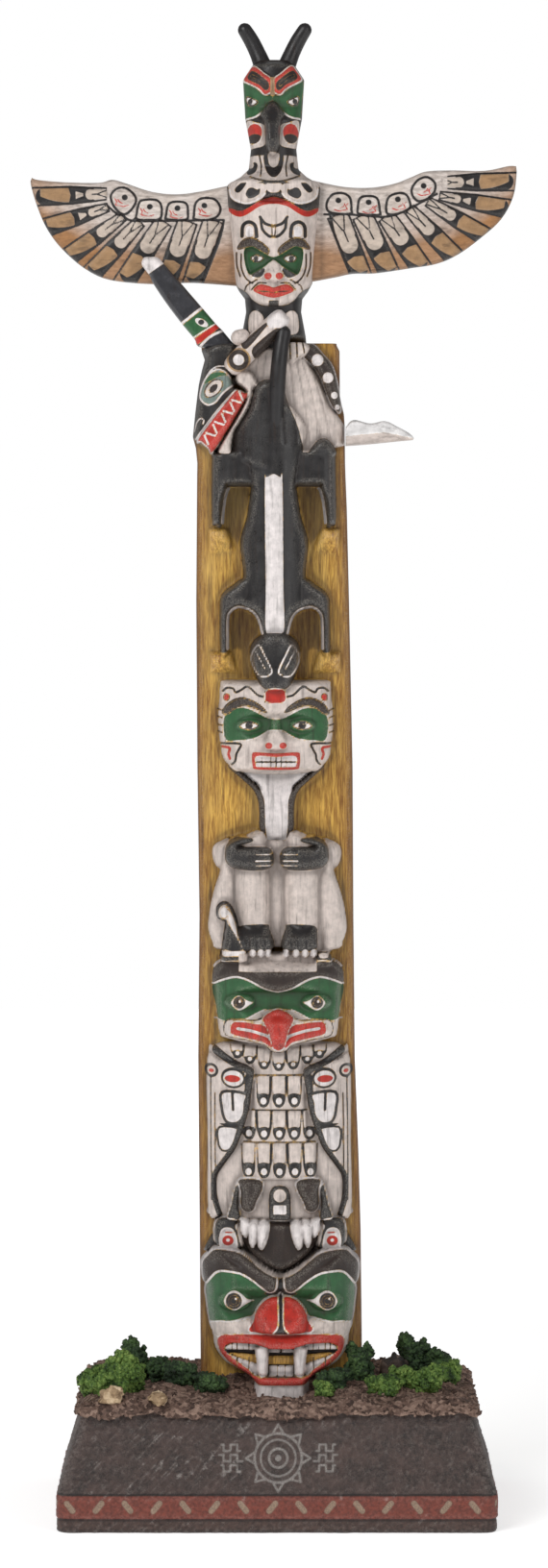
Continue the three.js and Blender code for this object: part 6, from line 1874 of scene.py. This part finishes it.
class TotemStage(bpy.types.PropertyGroup):
    """The floor, lights and camera."""
    floor: colour_setting("Floor", "The pale floor", 250, 250, 250)
    glow: number_setting("Floor Glow", "How much the floor shines", 0.55, 3)
    sky: number_setting("Surroundings", "Strength of the pale surroundings", 0.3, 3)
    key: number_setting("Key Light", "Power of the main lamp in watts", 11, 200)
    fill: number_setting("Fill Light", "Power of the second lamp in watts", 4, 200)
    distance: length_setting("Camera Distance", "From the camera to the pole's middle line", 1.5, 0.5, 10)
    elevation: FloatProperty(name="Camera Elevation", description="How far the camera looks down",
                             default=math.radians(2.5), min=0, max=1.5, subtype="ANGLE", unit="ROTATION")


WOOD = ("wood_dark", "wood", "wood_light", "edge")
WING_GROUND = ("wing_grain", "wing_pale", "cream", "wing_tan")


def paints_of(scene):
    return {name: tuple(getattr(scene.totem_paints, name)) for name in TotemPaints.__annotations__}


# ---------------------------------------------------------------- the makers
class TOTEM_OT_pole(bpy.types.Operator):
    """Carve and paint the pole with its figures"""
    bl_idname = "totem.build_pole"
    bl_label = "Pole"

    def execute(self, context):
        build_pole(context.scene.totem_carving, painted_finish("figure paint", paints_of(context.scene), WOOD))
        return {"FINISHED"}


class TOTEM_OT_wings(bpy.types.Operator):
    """Carve and paint the two spread wings"""
    bl_idname = "totem.build_wings"
    bl_label = "Wings"

    def execute(self, context):
        paints = dict(paints_of(context.scene), white=light(194, 178, 164),
                      cream=light(202, 186, 172), tan=light(168, 132, 94))
        finish = painted_finish("wing paint", paints, WING_GROUND, (0.2, 1, 0.6), 0.5)
        for wing in (LEFT_WING, RIGHT_WING):
            build_wing(wing, finish)
        return {"FINISHED"}


class TOTEM_OT_fins(bpy.types.Operator):
    """Make the whale's two fins"""
    bl_idname = "totem.build_fins"
    bl_label = "Fins"

    def execute(self, context):
        paints = paints_of(context.scene)
        build_dorsal_fin(painted_finish("fin black", dict(paints, black=light(60, 60, 64)), WOOD, (1, 1, 0.3), 0.36))
        build_side_fin(painted_finish("fin white", dict(paints, white=light(248, 245, 244)), WOOD, (0.3, 1, 1), 0.4))
        return {"FINISHED"}


class TOTEM_OT_base(bpy.types.Operator):
    """Make the slate base with its red band"""
    bl_idname = "totem.build_base"
    bl_label = "Base"

    def execute(self, context):
        build_base(slate_finish(paints_of(context.scene)))
        return {"FINISHED"}


class TOTEM_OT_soil(bpy.types.Operator):
    """Strew the soil over the base"""
    bl_idname = "totem.build_soil"
    bl_label = "Soil"

    def execute(self, context):
        finish = grit_finish("grit", light(58, 44, 38), light(106, 84, 74), light(150, 126, 112))
        build_soil(context.scene.totem_ground, finish)
        return {"FINISHED"}


class TOTEM_OT_foliage(bpy.types.Operator):
    """Plant the nine clumps of foliage"""
    bl_idname = "totem.build_foliage"
    bl_label = "Foliage"

    def execute(self, context):
        finishes = {"foliage": leaf_finish("foliage", light(26, 42, 20), light(78, 106, 44), light(132, 154, 80)),
                    "dark_foliage": leaf_finish("dark foliage", light(18, 26, 16), light(40, 60, 34),
                                                light(78, 104, 58))}
        build_foliage(context.scene.totem_ground, finishes)
        return {"FINISHED"}


class TOTEM_OT_stones(bpy.types.Operator):
    """Lay the three stones"""
    bl_idname = "totem.build_stones"
    bl_label = "Stones"

    def execute(self, context):
        finishes = {"tan_stone": grit_finish("tan stone", light(110, 88, 66), light(176, 150, 118),
                                             light(214, 192, 160), 1.6, 0.6),
                    "dark_stone": grit_finish("dark stone", light(30, 26, 24), light(66, 54, 48), light(104, 88, 78),
                                              1.6, 0.6)}
        build_stones(finishes)
        return {"FINISHED"}


class TOTEM_OT_stage(bpy.types.Operator):
    """Set the floor, lights and camera"""
    bl_idname = "totem.build_stage"
    bl_label = "Stage"

    def execute(self, context):
        build_stage(context.scene, context.scene.totem_stage)
        return {"FINISHED"}


def area_light(scene, name, place, aim, size, power):
    lamp = bpy.data.lights.new(name, "AREA")
    lamp.shape, lamp.size, lamp.size_y, lamp.energy = "RECTANGLE", size[0], size[1], power
    holder = bpy.data.objects.new(name, lamp)
    holder.location = place
    holder.rotation_euler = (Vector(aim) - Vector(place)).to_track_quat("-Z", "Y").to_euler()
    scene.collection.objects.link(holder)


def build_stage(scene, settings):
    """The floor, the surroundings, two lamps and the camera."""
    # A flat round floor that brightens outwards into the pale surroundings
    turn = np.linspace(0, 2 * math.pi, 96, endpoint=False)
    mesh = bpy.data.meshes.new("floor")
    mesh.from_pydata([(1.6 * math.cos(a), 1.6 * math.sin(a), 0.0) for a in turn], [], [tuple(range(96))])
    f = Finish("pale floor")
    tone = f.noise(180, 2)
    floor_colour = tuple(settings.floor)
    colour = f.mix(f.spread(tone, 0.3, 0.7), tuple(c * 0.985 for c in floor_colour), floor_colour)
    out = f.node("VectorMath", {"operation": "LENGTH"}, {0: f.place()}, "Value")
    glow = f.spread(out, 0.35, 1.3, settings.glow, 1.0)
    glow = f.node("CombineColor", {}, {0: glow, 1: glow, 2: glow})
    mesh.materials.append(f.surface(colour, f.spread(tone, 0.3, 0.7, 0.75, 0.85), Specular_IOR_Level=0.1,
                                    Emission_Color=glow, Emission_Strength=1.0))
    floor = bpy.data.objects.new("floor", mesh)
    scene.collection.objects.link(floor)
    # The surroundings look white and light the pole more softly than that
    world = bpy.data.worlds.new("studio")
    world.use_nodes = True
    nodes, links = world.node_tree.nodes, world.node_tree.links
    seen, strength = nodes.new("ShaderNodeLightPath"), nodes.new("ShaderNodeMapRange")
    links.new(seen.outputs["Is Camera Ray"], strength.inputs["Value"])
    strength.inputs["To Min"].default_value, strength.inputs["To Max"].default_value = settings.sky, 1.0
    nodes["Background"].inputs[0].default_value = (1, 1, 1, 1)
    links.new(strength.outputs[0], nodes["Background"].inputs[1])
    scene.world = world
    area_light(scene, "key", (-0.75, -1.1, 1.0), (0, 0, 0.2), (0.7, 0.9), settings.key)
    area_light(scene, "fill", (0.95, -1.0, 0.6), (0, 0, 0.2), (0.6, 0.9), settings.fill)
    scene.view_settings.view_transform = "Standard"
    camera = bpy.data.cameras.new("camera")
    sensor = 36  # mm, on its longer side
    camera.sensor_fit, camera.sensor_width, camera.sensor_height = "AUTO", sensor, sensor
    picture_height = 423.0 * MM  # how much height the picture takes in at the pole
    camera.lens = sensor * settings.distance / picture_height
    camera.clip_start, camera.clip_end = 0.05, 20
    holder = bpy.data.objects.new("camera", camera)
    aim = Vector((-0.0008, 0.0, 0.1956))
    out = Vector((0, -math.cos(settings.elevation), math.sin(settings.elevation)))
    holder.location = aim + out * settings.distance
    holder.rotation_euler = (-out).to_track_quat("-Z", "Y").to_euler()
    scene.collection.objects.link(holder)
    scene.camera = holder


class TOTEM_PT_makers(bpy.types.Panel):
    """The makers, in the order that they run"""
    bl_idname = "TOTEM_PT_makers"
    bl_label = "Totem Pole"
    bl_space_type = "VIEW_3D"
    bl_region_type = "UI"
    bl_category = "Totem"

    def draw(self, context):
        for maker in MAKERS:
            self.layout.operator(maker.bl_idname)
        for group in ("totem_paints", "totem_carving", "totem_ground", "totem_stage"):
            box = self.layout.box()
            settings = getattr(context.scene, group)
            for name in settings.__annotations__:
                box.prop(settings, name)


MAKERS = (TOTEM_OT_pole, TOTEM_OT_wings, TOTEM_OT_fins, TOTEM_OT_base, TOTEM_OT_soil, TOTEM_OT_foliage,
          TOTEM_OT_stones, TOTEM_OT_stage)
SETTINGS = {"totem_paints": TotemPaints, "totem_carving": TotemCarving, "totem_ground": TotemGround,
            "totem_stage": TotemStage}


def register():
    for part in (*SETTINGS.values(), *MAKERS, TOTEM_PT_makers):
        bpy.utils.register_class(part)
    for name, group in SETTINGS.items():
        setattr(bpy.types.Scene, name, PointerProperty(type=group))


def unregister():
    for name in SETTINGS:
        delattr(bpy.types.Scene, name)
    for part in (TOTEM_PT_makers, *reversed(MAKERS), *reversed(SETTINGS.values())):
        bpy.utils.unregister_class(part)


def main():
    register()
    for maker in ("build_pole", "build_wings", "build_fins", "build_base", "build_soil", "build_foliage",
                  "build_stones", "build_stage"):
        getattr(bpy.ops.totem, maker)()


if __name__ == "__main__":
    main()
